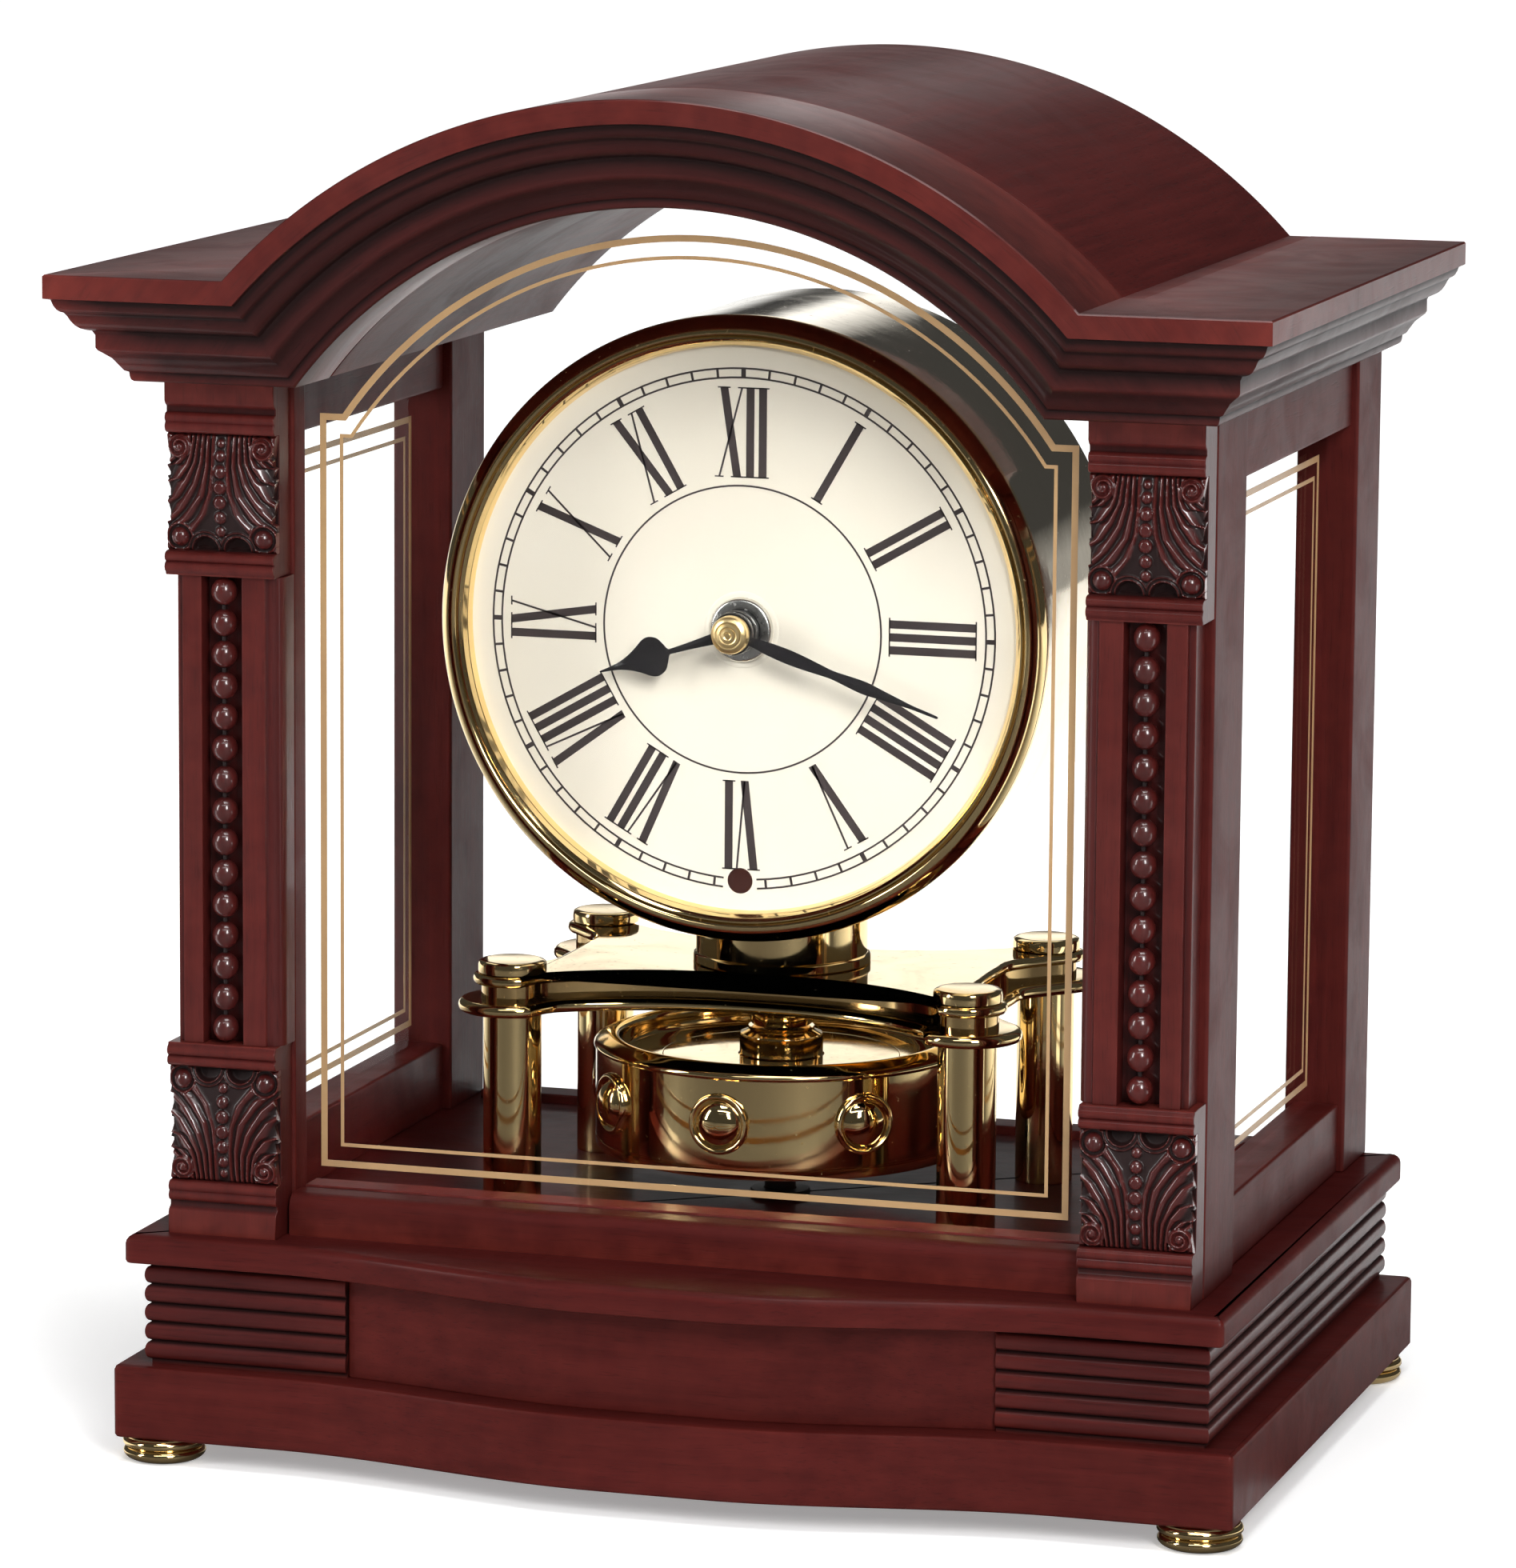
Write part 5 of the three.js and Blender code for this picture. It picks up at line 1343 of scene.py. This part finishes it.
# ------------------------------------------------------------------ platform
@dataclass
class Platform:
    """The scalloped brass platform on its four posts, with the pedestal that carries the drum."""

    post_x: float = 50.85
    post_y: float = 32.2
    top: float = 101.7
    lobe: float = 11.7
    half_x: float = 50.4
    half_y: float = 21.8
    levels: tuple = ((93.4, 1.0), (93.6, 0.5), (94.1, 0.12), (94.8, 0), (95.5, 0.2), (96.0, 0.75),
                     (96.2, 1.3), (96.2, 5.0), (99.3, 5.0), (99.3, 4.3), (99.5, 3.7), (100.0, 3.3),
                     (100.6, 3.2), (101.2, 3.4), (101.6, 3.9), (101.7, 4.5))

    def plan(self) -> np.ndarray:
        """Scalloped plan: a round lobe at each post, and edges that sweep in as x to the power 2.4.

        Returns:
            The closed plan.
        """
        corner = arc(self.post_x, self.post_y, self.lobe, -50, 128, 26)
        x = np.linspace(37.5, 0, 16)
        sweep = np.stack([x, self.half_y + 15.2 * (x / 45) ** 2.4], -1)
        flank = smooth_line([(self.half_x, 0), (self.half_x + 0.2, 7), (self.half_x + 0.9, 14.5), corner[0]],
                            4)
        quarter = np.vstack([flank[:-1], corner, smooth_line([corner[-1], (41.2, self.half_y + 12.9),
                                                              sweep[0]], 3)[1:-1], sweep])
        half = np.vstack([quarter, quarter[-2::-1] * [-1, 1]])
        return np.vstack([half, half[-2:0:-1] * [1, -1]]) + [0, WORKS_Y]

    def slab(self) -> None:
        """The platform: two rounded flanges with a deep groove between, and the boss under it."""
        plan = self.plan()
        solid = Solid("scalloped_platform")
        solid.loft(np.array([np.insert(inset(plan, amount), 2, z, axis=1) for z, amount in self.levels]))
        solid.revolve([(0.01, 87.7), (6.2, 87.7), (6.6, 88.0), (6.8, 88.9), (7.2, 90.0), (8.4, 91.0),
                       (8.8, 91.8), (8.8, 94), (0.01, 94)], 40, (0, WORKS_Y))
        solid.make(BRASS, "case", ["platform"], "polished_brass", 32)

    def post(self, side: str, end: str, y: float) -> None:
        """A round post with a domed cap.

        Args:
            side: right or left.
            end: front or rear.
            y: where it stands.
        """
        profile = [(0.01, FLOOR), (6.0, FLOOR), (6.25, 50.1), (6.3, 50.5), (6.3, 93.4), (6.15, 93.6),
                   (6.15, self.top), (7.0, self.top), (7.35, 101.9), (7.4, 102.3), (7.4, 103.5), (7.2, 104.1),
                   (6.7, 104.4), (6.0, 104.5), (0.01, 104.5)]
        solid = Solid(f"brass_post_{end}_{side}", Grain.Z, side == "left")
        solid.revolve(profile, 48, (self.post_x, y))
        solid.make(BRASS, "case", [f"platform_post_{end}_{side}"], "polished_brass", 32)

    def pedestal(self) -> None:
        """A short column cut to the drum: its top follows the drum's underside."""
        turn = np.linspace(0, 2 * math.pi, 64, endpoint=False)
        levels = [(18.9, self.top), (19.3, self.top + 0.3), (19.3, 103.5), (19.1, 103.8), (18.7, 104.0),
                  (18.7, 107), (18.7, None)]
        rings = []
        for radius, z in levels:
            x, y = radius * np.cos(turn), WORKS_Y + radius * np.sin(turn)
            level = DIAL_Z - np.sqrt(66.2**2 - x**2) if z is None else np.full_like(x, z)
            rings.append(np.stack([x, y, level], -1))
        solid = Solid("drum_saddle")
        solid.loft(np.array(rings))
        solid.make(BRASS, "case", ["drum_pedestal"], "polished_brass", 32)

    def build(self) -> None:
        """Makes the platform, its posts and the pedestal."""
        self.slab()
        self.pedestal()
        for side in SIDES:
            for end, sign in (("front", -1), ("rear", 1)):
                self.post(side, end, WORKS_Y + sign * self.post_y)


# ------------------------------------------------------------------ pendulum
@dataclass
class Pendulum:
    """The turning pendulum: a dished brass disc with a row of domes round its wall."""

    radius: float = 40.8
    dome_z: float = 73.2
    dome_count: int = 8
    phase: float = -2.2

    def disc(self) -> None:
        """The disc, turned, with each dome's round turned about a line out from the middle."""
        rim = smooth_line([(40.4, 82.7), (40.75, 83.1), (40.8, 83.6), (40.4, 84.2), (39.4, 84.7),
                           (38.3, 85.15), (37.4, 85.5), (36.6, 85.7), (35.8, 85.6), (35.3, 85.2),
                           (35.0, 84.2), (34.8, 81.6)], 2)
        profile = [(0.01, 67.1), (3.7, 67.1), (3.7, 61.2), (3.9, 61.1), (39.4, 61.1), (40.1, 61.3),
                   (40.4, 61.9), (40.4, 63.2), (40.1, 63.4), (40.1, 63.7), (40.4, 63.9), *rim, (34.4, 81.1),
                   (26, 81.1), (25.8, 81.0), (25.6, 81.1), (9.4, 81.1), (9.1, 81.4), (9.1, 85.4), (8.9, 85.8),
                   (7.5, 86.4), (7.2, 86.7), (7.2, 87.3), (7.1, 87.4), (0.01, 87.4)]
        solid = Solid("domed_pendulum", Grain.Z)
        solid.revolve(profile, 128, (0, WORKS_Y))
        r = self.radius
        dome = smooth_line([(0.01, -r - 2.4), (1.6, -r - 2.25), (3.2, -r - 1.75), (4.3, -r - 0.95),
                            (4.9, -r - 0.25), (5.25, -r - 0.15), (5.6, -r - 0.6), (6.1, -r - 0.75),
                            (6.55, -r - 0.4), (6.7, -r + 0.4)], 2)
        for number in range(self.dome_count):
            solid.revolve(np.vstack([dome, [(6.7, -r + 3), (0.01, -r + 3)]]), 36, (0, self.dome_z), Axis.Y)
            turn = math.radians(360 * number / self.dome_count + self.phase)
            x, y, z = solid.points[-1].T
            solid.points[-1] = np.stack([x * math.cos(turn) - y * math.sin(turn),
                                         WORKS_Y + x * math.sin(turn) + y * math.cos(turn), z], -1)
        solid.make(BRASS, "pendulum", ["pendulum_disc"], "polished_brass", 40)

    def build(self) -> None:
        """Makes the pendulum and the pivot it turns on."""
        self.disc()
        pivot = Solid("pendulum_pivot_pin")
        pivot.revolve([(0.01, FLOOR), (6.4, FLOOR), (6.6, 50.1), (6.6, 50.9), (6.3, 51.2), (3.7, 51.3),
                       (3.4, 51.6), (3.4, 66.3), (3.2, 66.5), (0.01, 66.5)], 32, (0, WORKS_Y))
        pivot.make(PLASTIC, "case", ["pendulum_pivot"], "black_plastic")


# ------------------------------------------------------------------ drum and dial
class Glyph(Enum):
    """A Roman letter as strokes (foot, head, thickness) and its half widths left and right."""

    I = (((0.0, 0.0, 1.75),), 1.375, 1.375)
    V = (((0.25, -1.9, 1.75), (0.25, 1.9, 0.42)), 2.85, 2.35)
    X = (((1.5, -1.5, 1.75), (-2.5, 2.5, 0.42)), 2.95, 2.95)


@dataclass
class Drum:
    """The brass drum, its bezel, and the cream dial with its printed numerals and minute track."""

    numeral_inner: float = 32.4
    numeral_outer: float = 51.6
    track: tuple = (53.65, 55.6)
    ink: float = 0.07
    line: float = 0.4
    inner_circle: float = 30.7
    serif: float = 0.28
    sensor_drop: float = 54.0
    sensor_minute: int = 30
    numerals: tuple = ("XII", "I", "II", "III", "IIII", "V", "VI", "VII", "VIII", "IX", "X", "XI")

    def shell(self) -> None:
        """The drum's wall with its rolled rear lip, and the bezel with its bright inner bevels."""
        centre = (0, DIAL_Z)
        wall = [(66.8, -23.1), (66.8, 38.0), (66.5, 38.7), (66.0, 38.9), (61.6, 38.9), (61.2, 38.6),
                (61.2, 37.6), (61.5, 37.4), (65.2, 37.4), (65.2, -23.1), (66.8, -23.1)]
        solid = Solid("drum_wall", Grain.Y)
        solid.revolve(wall, 160, centre, Axis.Y)
        solid.make(DRUM_BRASS, "case", ["drum_shell"], "polished_brass", 32)
        band = smooth_line([(62.75, -28.05), (63.4, -28.6), (64.4, -28.4), (65.5, -27.6), (66.4, -26.5),
                            (66.9, -25.4), (67.0, -24.4)], 3)
        bezel = [(65, -23.1), (65, -24.5), (60.3, -24.5), (60.35, -24.9), (60.7, -26.5), (60.9, -26.75),
                 (61.4, -27.7), (61.6, -27.95), (62.2, -28.45), (62.45, -28.4), *band, (67.0, -23.3),
                 (66.8, -23.1), (65, -23.1)]
        solid = Solid("polished_bezel", Grain.Y)
        solid.revolve(bezel, 192, centre, Axis.Y)
        solid.make(BRASS, "case", ["bezel"], "polished_brass", 24)

    def strip(self, solid: Solid, radius: float, width: float, start: float, end: float) -> None:
        """A printed arc, from one angle to another in degrees clockwise from the top.

        Args:
            solid: the print it joins.
            radius: of its middle.
            width: of the line.
            start: first angle.
            end: last angle.
        """
        turn = np.radians(np.linspace(start, end, 121))
        corners = [(radius - width / 2, 0), (radius + width / 2, 0), (radius + width / 2, self.ink),
                   (radius - width / 2, self.ink)]
        rings = np.stack([np.stack([r * np.sin(turn), np.full_like(turn, DIAL_Y + 0.02 - y),
                                    DIAL_Z + r * np.cos(turn)], -1)
                          for r, y in corners], axis=1)
        solid.loft(rings)

    def stroke(self, solid: Solid, hour: float, outline: list) -> None:
        """A printed plate; its outline is (rightward, outward) on the line of that hour.

        Args:
            solid: the print it joins.
            hour: the hour it points to.
            outline: its corners.
        """
        turn = math.radians(30 * hour)
        across, out = np.array(outline, float).T
        x = across * math.cos(turn) + out * math.sin(turn)
        z = DIAL_Z - across * math.sin(turn) + out * math.cos(turn)
        rings = [np.stack([x, np.full_like(x, y), z], -1) for y in (DIAL_Y - self.ink, DIAL_Y + 0.02)]
        solid.loft(np.array(rings))

    def numeral(self, solid: Solid, hour: int, letters: str) -> None:
        """One numeral with its foot to the middle: thick and thin strokes between thin serifs.

        Args:
            solid: the print it joins.
            hour: the hour it marks.
            letters: its Roman letters.
        """
        glyphs = [Glyph[letter] for letter in letters]
        total = sum(g.value[1] + g.value[2] for g in glyphs)
        place = -total / 2
        low, high = self.numeral_inner, self.numeral_outer
        for glyph in glyphs:
            strokes, left, right = glyph.value
            middle = place + left
            for foot, head, thick in strokes:
                half = thick / 2
                self.stroke(solid, hour, [(middle + foot - half, low), (middle + foot + half, low),
                                          (middle + head + half, high), (middle + head - half, high)])
                over = half + 0.52 if thick > 1 else half + 0.75
                for end, a in ((high, head), (low, foot)):
                    if glyph is Glyph.V and end == low:
                        continue
                    inward = -self.serif if end == high else self.serif
                    self.stroke(solid, hour, [(middle + a - over, end), (middle + a + over, end),
                                              (middle + a + over, end + inward),
                                              (middle + a - over, end + inward)])
            place += left + right

    def dial(self) -> None:
        """The dial plate, its print, the light sensor's window and the nut round the hub."""
        centre = (0, DIAL_Z)
        face = [(5, -23.7), (5, -24.4), (5.1, -24.5), (7.0, -24.5), (7.15, -24.6), (7.4, -24.66),
                (7.9, -24.66), (8.15, -24.6), (8.3, -24.5), (64.6, -24.5), (64.7, -24.4), (64.7, -23.7),
                (5, -23.7)]
        plate = Solid("cream_dial", Grain.Y)
        plate.revolve(face, 128, centre, Axis.Y)
        plate.make(DIAL_PAINT, "case", ["dial_plate"], "dial_face")
        ink = Solid("dial_print", Grain.Y)
        for number, letters in enumerate(self.numerals):
            self.numeral(ink, number, letters)
        for radius in self.track:
            self.strip(ink, radius, self.line, -176.1, 176.1)
        self.strip(ink, self.inner_circle, self.line, 0, 359.99)
        low, high = self.track
        for minute in range(60):
            if minute == self.sensor_minute:
                continue
            half = 0.5 if minute % 5 == 0 else 0.26
            self.stroke(ink, minute / 5, [(-half, low), (half, low), (half, high), (-half, high)])
        ink.make(DIAL_INK, "case", [], "dial_face")
        window = Solid("sensor_lens", Grain.Y)
        window.revolve([(0.01, -24.72), (1.6, -24.7), (2.5, -24.62), (2.9, -24.45), (2.9, -23.2),
                        (0.01, -23.2)], 32,
                       (0, DIAL_Z - self.sensor_drop), Axis.Y)
        window.make(SENSOR, "case", ["light_sensor"], "sensor_window")
        nut = Solid("hub_ring_nut", Grain.Y)
        nut.revolve([(4.5, -24.4), (4.5, -25.8), (4.6, -25.9), (6.1, -25.9), (6.6, -25.65), (6.95, -25.1),
                     (7, -24.4), (4.5, -24.4)],
                    48, centre, Axis.Y)
        nut.make(STEEL, "case", ["hub_nut"], "bright_steel")

    def build(self) -> None:
        """Makes the drum and dial."""
        self.shell()
        self.dial()


# ------------------------------------------------------------------ hands
@dataclass
class Hands:
    """The leaf-shaped minute hand, the spade hour hand and the turned brass nut."""

    minute_turn: float = 109.0
    hour_turn: float = 251.8
    minute: tuple = ((-1.5, 1.2), (4, 1.0), (8, 1.35), (12.3, 1.55), (16, 1.45), (20, 1.15), (23.4, 0.92),
                     (27, 1.17), (30.8, 1.37), (34.5, 1.07), (38, 0.75), (41.8, 0.43), (45.5, 0.35),
                     (47.5, 0.28), (47.9, 0.05))
    hour: tuple = ((2.0, 1.45), (5, 1.2), (10, 0.82), (14.6, 0.6), (15.6, 0.75), (16.4, 2.2), (17.4, 3.6),
                   (19.2, 4.3), (20.8, 3.9), (22.6, 2.75), (24.6, 1.7), (27, 0.85), (29.5, 0.42), (31.4, 0.2),
                   (31.7, 0.04))

    def blade(self, name: str, body: str, nodes: list, line: tuple, turn: float, front: float, boss: float,
              ring: float) -> None:
        """A folded blade: its ridge stands forward along the middle, and its edges lie back.

        Args:
            name: the piece's name.
            body: the body it turns with.
            nodes: the node it stands for.
            line: distances along it with half widths.
            turn: its angle, clockwise from the top.
            front: y of the ridge.
            boss: radius of the boss.
            ring: how far the boss reaches back.
        """
        along, half = np.maximum(smooth_line(line, 5), [-9, 0.02]).T
        lift = np.minimum(half * 0.42, 0.42)
        zero = np.zeros_like(half)
        offsets = [(half, zero + 0.42), (half * 0.96, zero + 0.36), (zero, 0.42 - lift),
                   (-half * 0.96, zero + 0.36), (-half, zero + 0.42), (-half, zero + 0.58),
                   (zero, zero + 0.58), (half, zero + 0.58)]
        a = math.radians(turn)
        rings = np.stack([np.stack([along * math.sin(a) + across * math.cos(a), front + depth,
                                    DIAL_Z + along * math.cos(a) - across * math.sin(a)], -1)
                          for across, depth in offsets], axis=1)
        solid = Solid(name, Grain.Y)
        solid.loft(rings)
        solid.revolve([(1.1, front), (boss - 0.5, front), (boss - 0.15, front + 0.12), (boss, front + 0.4),
                       (boss, front + ring), (1.1, front + ring), (1.1, front)], 48, (0, DIAL_Z), Axis.Y)
        solid.make(ENAMEL, body, nodes, "black_enamel", 24)

    def build(self) -> None:
        """Makes both hands and the nut."""
        self.blade("leaf_minute_hand", "minute_works", ["minute_hand"], self.minute, self.minute_turn, -32.0,
                   4.6, 1.4)
        self.blade("spade_hour_hand", "hour_works", ["hour_hand"], self.hour, self.hour_turn, -29.6, 4.7, 1.2)
        nut = Solid("turned_hand_nut", Grain.Y)
        nut.revolve([(0.01, -34.9), (0.5, -34.88), (0.7, -34.7), (0.95, -34.84), (1.5, -34.74),
                     (1.65, -34.56), (1.95, -34.66), (2.5, -34.52), (2.65, -34.34), (2.95, -34.4),
                     (3.5, -34.16), (3.9, -33.8), (4.1, -33.3), (4.1, -32.0), (0.01, -32.0)], 48, (0, DIAL_Z),
                     Axis.Y)
        nut.make(GEAR_BRASS, "minute_works", ["hand_nut"], "polished_brass", 24)


# ------------------------------------------------------------------ movement
@dataclass
class Movement:
    """The battery movement inside the drum: the solid model's own pieces, eased and finished."""

    bevel: float = 0.28
    jacket_bevel: float = 0.4
    weld: float = 2e-6
    crease: float = 40.0

    def dress(self, node: str, finish: Finish, bevel: float) -> None:
        """Gives a carried-over piece its finish, joins its loose triangles and eases its edges.

        Args:
            node: the piece's node.
            finish: the finish it wears.
            bevel: width of its eased edges, or 0 for none.
        """
        piece = frame["nodes"][node]
        piece.data.materials.clear()
        piece.data.materials.append(finish.material())
        piece.modifiers.new("join", "WELD").merge_threshold = self.weld
        if bevel:
            ease = piece.modifiers.new("eased_edges", "BEVEL")
            ease.width = bevel * MM
            ease.segments = 2
            ease.limit_method = "ANGLE"
            ease.angle_limit = math.radians(self.crease)
        LOG.info("dressed %s", node)

    def build(self) -> None:
        """Dresses the case, wheels, knob, switches and cells."""
        for node in ("movement_case", "movement_front_plate", "set_knob", "melody_switch", "volume_switch"):
            self.dress(node, PLASTIC, self.bevel)
        for node in ("battery_right", "battery_left"):
            self.dress(node, JACKET, self.jacket_bevel)
        for node, finish in (("minute_arbor", STEEL), ("minute_wheel", STEEL), ("hour_wheel", GEAR_BRASS)):
            self.dress(node, finish, 0.0)


# ------------------------------------------------------------------ studio
@dataclass
class Studio:
    """A pale floor, a soft bright surround and the camera."""

    place: tuple = (0.466924, -1.538842, 0.404991)
    turn: float = 17.005
    fall: float = 9.307
    roll: float = 0.432
    lens: float = 173.48
    floor_size: float = 6.0
    lamps: tuple = (
        ("key_right", (0.95, -1.45, 1.0), (0, 0, 0.15), (0.42, 0.75), 21),
        ("fill_left", (-1.5, -1.15, 0.75), (0, 0, 0.15), (0.25, 1.1), 13.5),
        ("over_top", (0.15, -0.25, 1.7), (0, 0, 0.1), (0.9, 0.9), 20),
        ("front_strip", (0.35, -1.25, 1.45), (0, 0, 0.15), (1.7, 0.14), 5),
        ("back_top", (-0.4, 1.0, 1.0), (0, 0, 0.15), (0.7, 0.45), 1.2),
    )

    def surround(self) -> None:
        """White to the camera; to all else, bright low down behind the clock, with a bank above."""
        world = bpy.data.worlds.new("soft_surround")
        world.use_nodes = True
        bpy.context.scene.world = world
        g = Graph(world.node_tree)
        back = world.node_tree.nodes["Background"]
        way = g.node("ShaderNodeTexCoord").outputs["Generated"]
        parts = g.node("ShaderNodeSeparateXYZ", Vector=way)
        toward = g.node("ShaderNodeVectorMath", {"operation": "DOT_PRODUCT"}, i0=way,
                        i1=(-0.29, 0.957, 0.0)).outputs["Value"]
        height = parts.outputs["Z"]
        behind = g.times(g.span(toward, 0.80, 0.92), g.span(height, 0.0, 0.07, 1.0, 0.0))
        bank = g.times(g.span(height, 0.13, 0.17), g.span(height, 0.36, 0.44, 1.0, 0.0))
        bank = g.times(bank, g.span(toward, 0.955, 0.98))
        level = g.plus(0.05, g.math("MAXIMUM", behind, g.times(bank, 1.35)))
        seen = g.node("ShaderNodeLightPath").outputs["Is Camera Ray"]
        strength = g.math("MAXIMUM", level, g.times(seen, 1.02))
        g.link(strength, back.inputs["Strength"])
        back.inputs["Color"].default_value = (1, 0.995, 0.99, 1)

    def softbox(self, name: str, place: tuple, aim: tuple, size: tuple, power: float) -> None:
        """A rectangular lamp facing a point.

        Args:
            name: the lamp's name.
            place: where it stands, in metres.
            aim: the point it faces.
            size: its width and height.
            power: in watts.
        """
        lamp = bpy.data.lights.new(name, "AREA")
        lamp.shape = "RECTANGLE"
        lamp.size, lamp.size_y = size
        lamp.energy = power
        box = bpy.data.objects.new(name, lamp)
        box.location = place
        away = (np.array(place) - np.array(aim)).astype(float)
        away /= np.linalg.norm(away)
        side = np.cross([0, 0, 1], away)
        side /= np.linalg.norm(side)
        up = np.cross(away, side)
        box.matrix_world = Matrix([[side[i], up[i], away[i], place[i]] for i in range(3)] + [[0, 0, 0, 1]])
        bpy.context.scene.collection.objects.link(box)

    def floor(self) -> None:
        """A wide pale floor whose emission is a painted glow, brighter far off; reflections see it dark in
        front but for two glowing wedges, painted reflections on the brass.
        """
        half = self.floor_size / 2
        mesh = bpy.data.meshes.new("studio_floor")
        mesh.from_pydata([(-half, -half, 0), (half, -half, 0), (half, half, 0), (-half, half, 0)], [],
                         [(0, 1, 2, 3)])
        floor = bpy.data.objects.new("studio_floor", mesh)
        bpy.context.scene.collection.objects.link(floor)
        paper = Paint("floor_paper", (0.93, 0.93, 0.93, 1), (0.91, 0.91, 0.91, 1), 0.7, 0.0, 0.05).material()
        mesh.materials.append(paper)
        g = Graph(paper.node_tree)
        shader = paper.node_tree.nodes["Principled BSDF"]
        away = g.node("ShaderNodeVectorMath", {"operation": "LENGTH"}, i0=g.place()).outputs["Value"]
        # Painted glow: the floor's emission rises with distance, and for reflections in front it turns dark
        # except in two wedges that paint bright reflections on the brass.
        shader.inputs["Emission Color"].default_value = (1, 1, 1, 1)
        parts = g.node("ShaderNodeSeparateXYZ", Vector=g.place())
        angle = g.math("ARCTAN2", parts.outputs["X"], g.times(parts.outputs["Y"], -1.0))
        left = g.times(g.span(angle, -1.32, -1.28), g.span(angle, -1.08, -1.02, 1.0, 0.0))
        right = g.times(g.span(angle, 1.18, 1.22), g.span(angle, 1.40, 1.46, 1.0, 0.0))
        card = g.math("MAXIMUM", left, right)
        near = g.times(g.span(parts.outputs["Y"], -0.02, 0.3, 0.97, 0.0), g.math("SUBTRACT", 1.0, card))
        keep = g.math("SUBTRACT", 1.0, g.times(near, g.node("ShaderNodeLightPath").outputs["Is Glossy Ray"]))
        g.link(g.times(g.span(away, 0.1, 1.4, 0.32, 1.0), keep), shader.inputs["Emission Strength"])
        tone = g.blend(keep, (0.04, 0.035, 0.035, 1), (0.93, 0.93, 0.93, 1))
        g.link(tone, shader.inputs["Base Color"])

    def camera(self) -> None:
        """The camera: turned, tipped and rolled by the three angles."""
        a, e, r = map(math.radians, (self.turn, self.fall, self.roll))
        right = np.array([math.cos(a), math.sin(a), 0])
        back = np.array([math.sin(a) * math.cos(e), -math.cos(a) * math.cos(e), math.sin(e)])
        up = np.cross(back, right)
        across = right * math.cos(r) + up * math.sin(r)
        rise = up * math.cos(r) - right * math.sin(r)
        data = bpy.data.cameras.new("view")
        data.lens = self.lens
        data.sensor_width = 36
        data.clip_end = 50
        camera = bpy.data.objects.new("view", data)
        rows = [[across[i], rise[i], back[i], self.place[i]] for i in range(3)]
        camera.matrix_world = Matrix(rows + [[0, 0, 0, 1]])
        bpy.context.scene.collection.objects.link(camera)
        bpy.context.scene.camera = camera

    def build(self) -> None:
        """Sets the surround, lamps, floor and camera."""
        bpy.context.scene.view_settings.view_transform = "Standard"
        self.surround()
        for lamp in self.lamps:
            self.softbox(*lamp)
        self.floor()
        self.camera()


def main() -> None:
    """Builds each part of the clock in order."""
    logging.basicConfig(level=logging.INFO, format="%(message)s")
    for part in (Base(), Case(), Pilasters(), Crown(), Platform(), Pendulum(), Drum(), Hands(), Movement(),
                 Studio()):
        part.build()
        LOG.info("built %s", type(part).__name__)


if __name__ == "__main__":
    main()
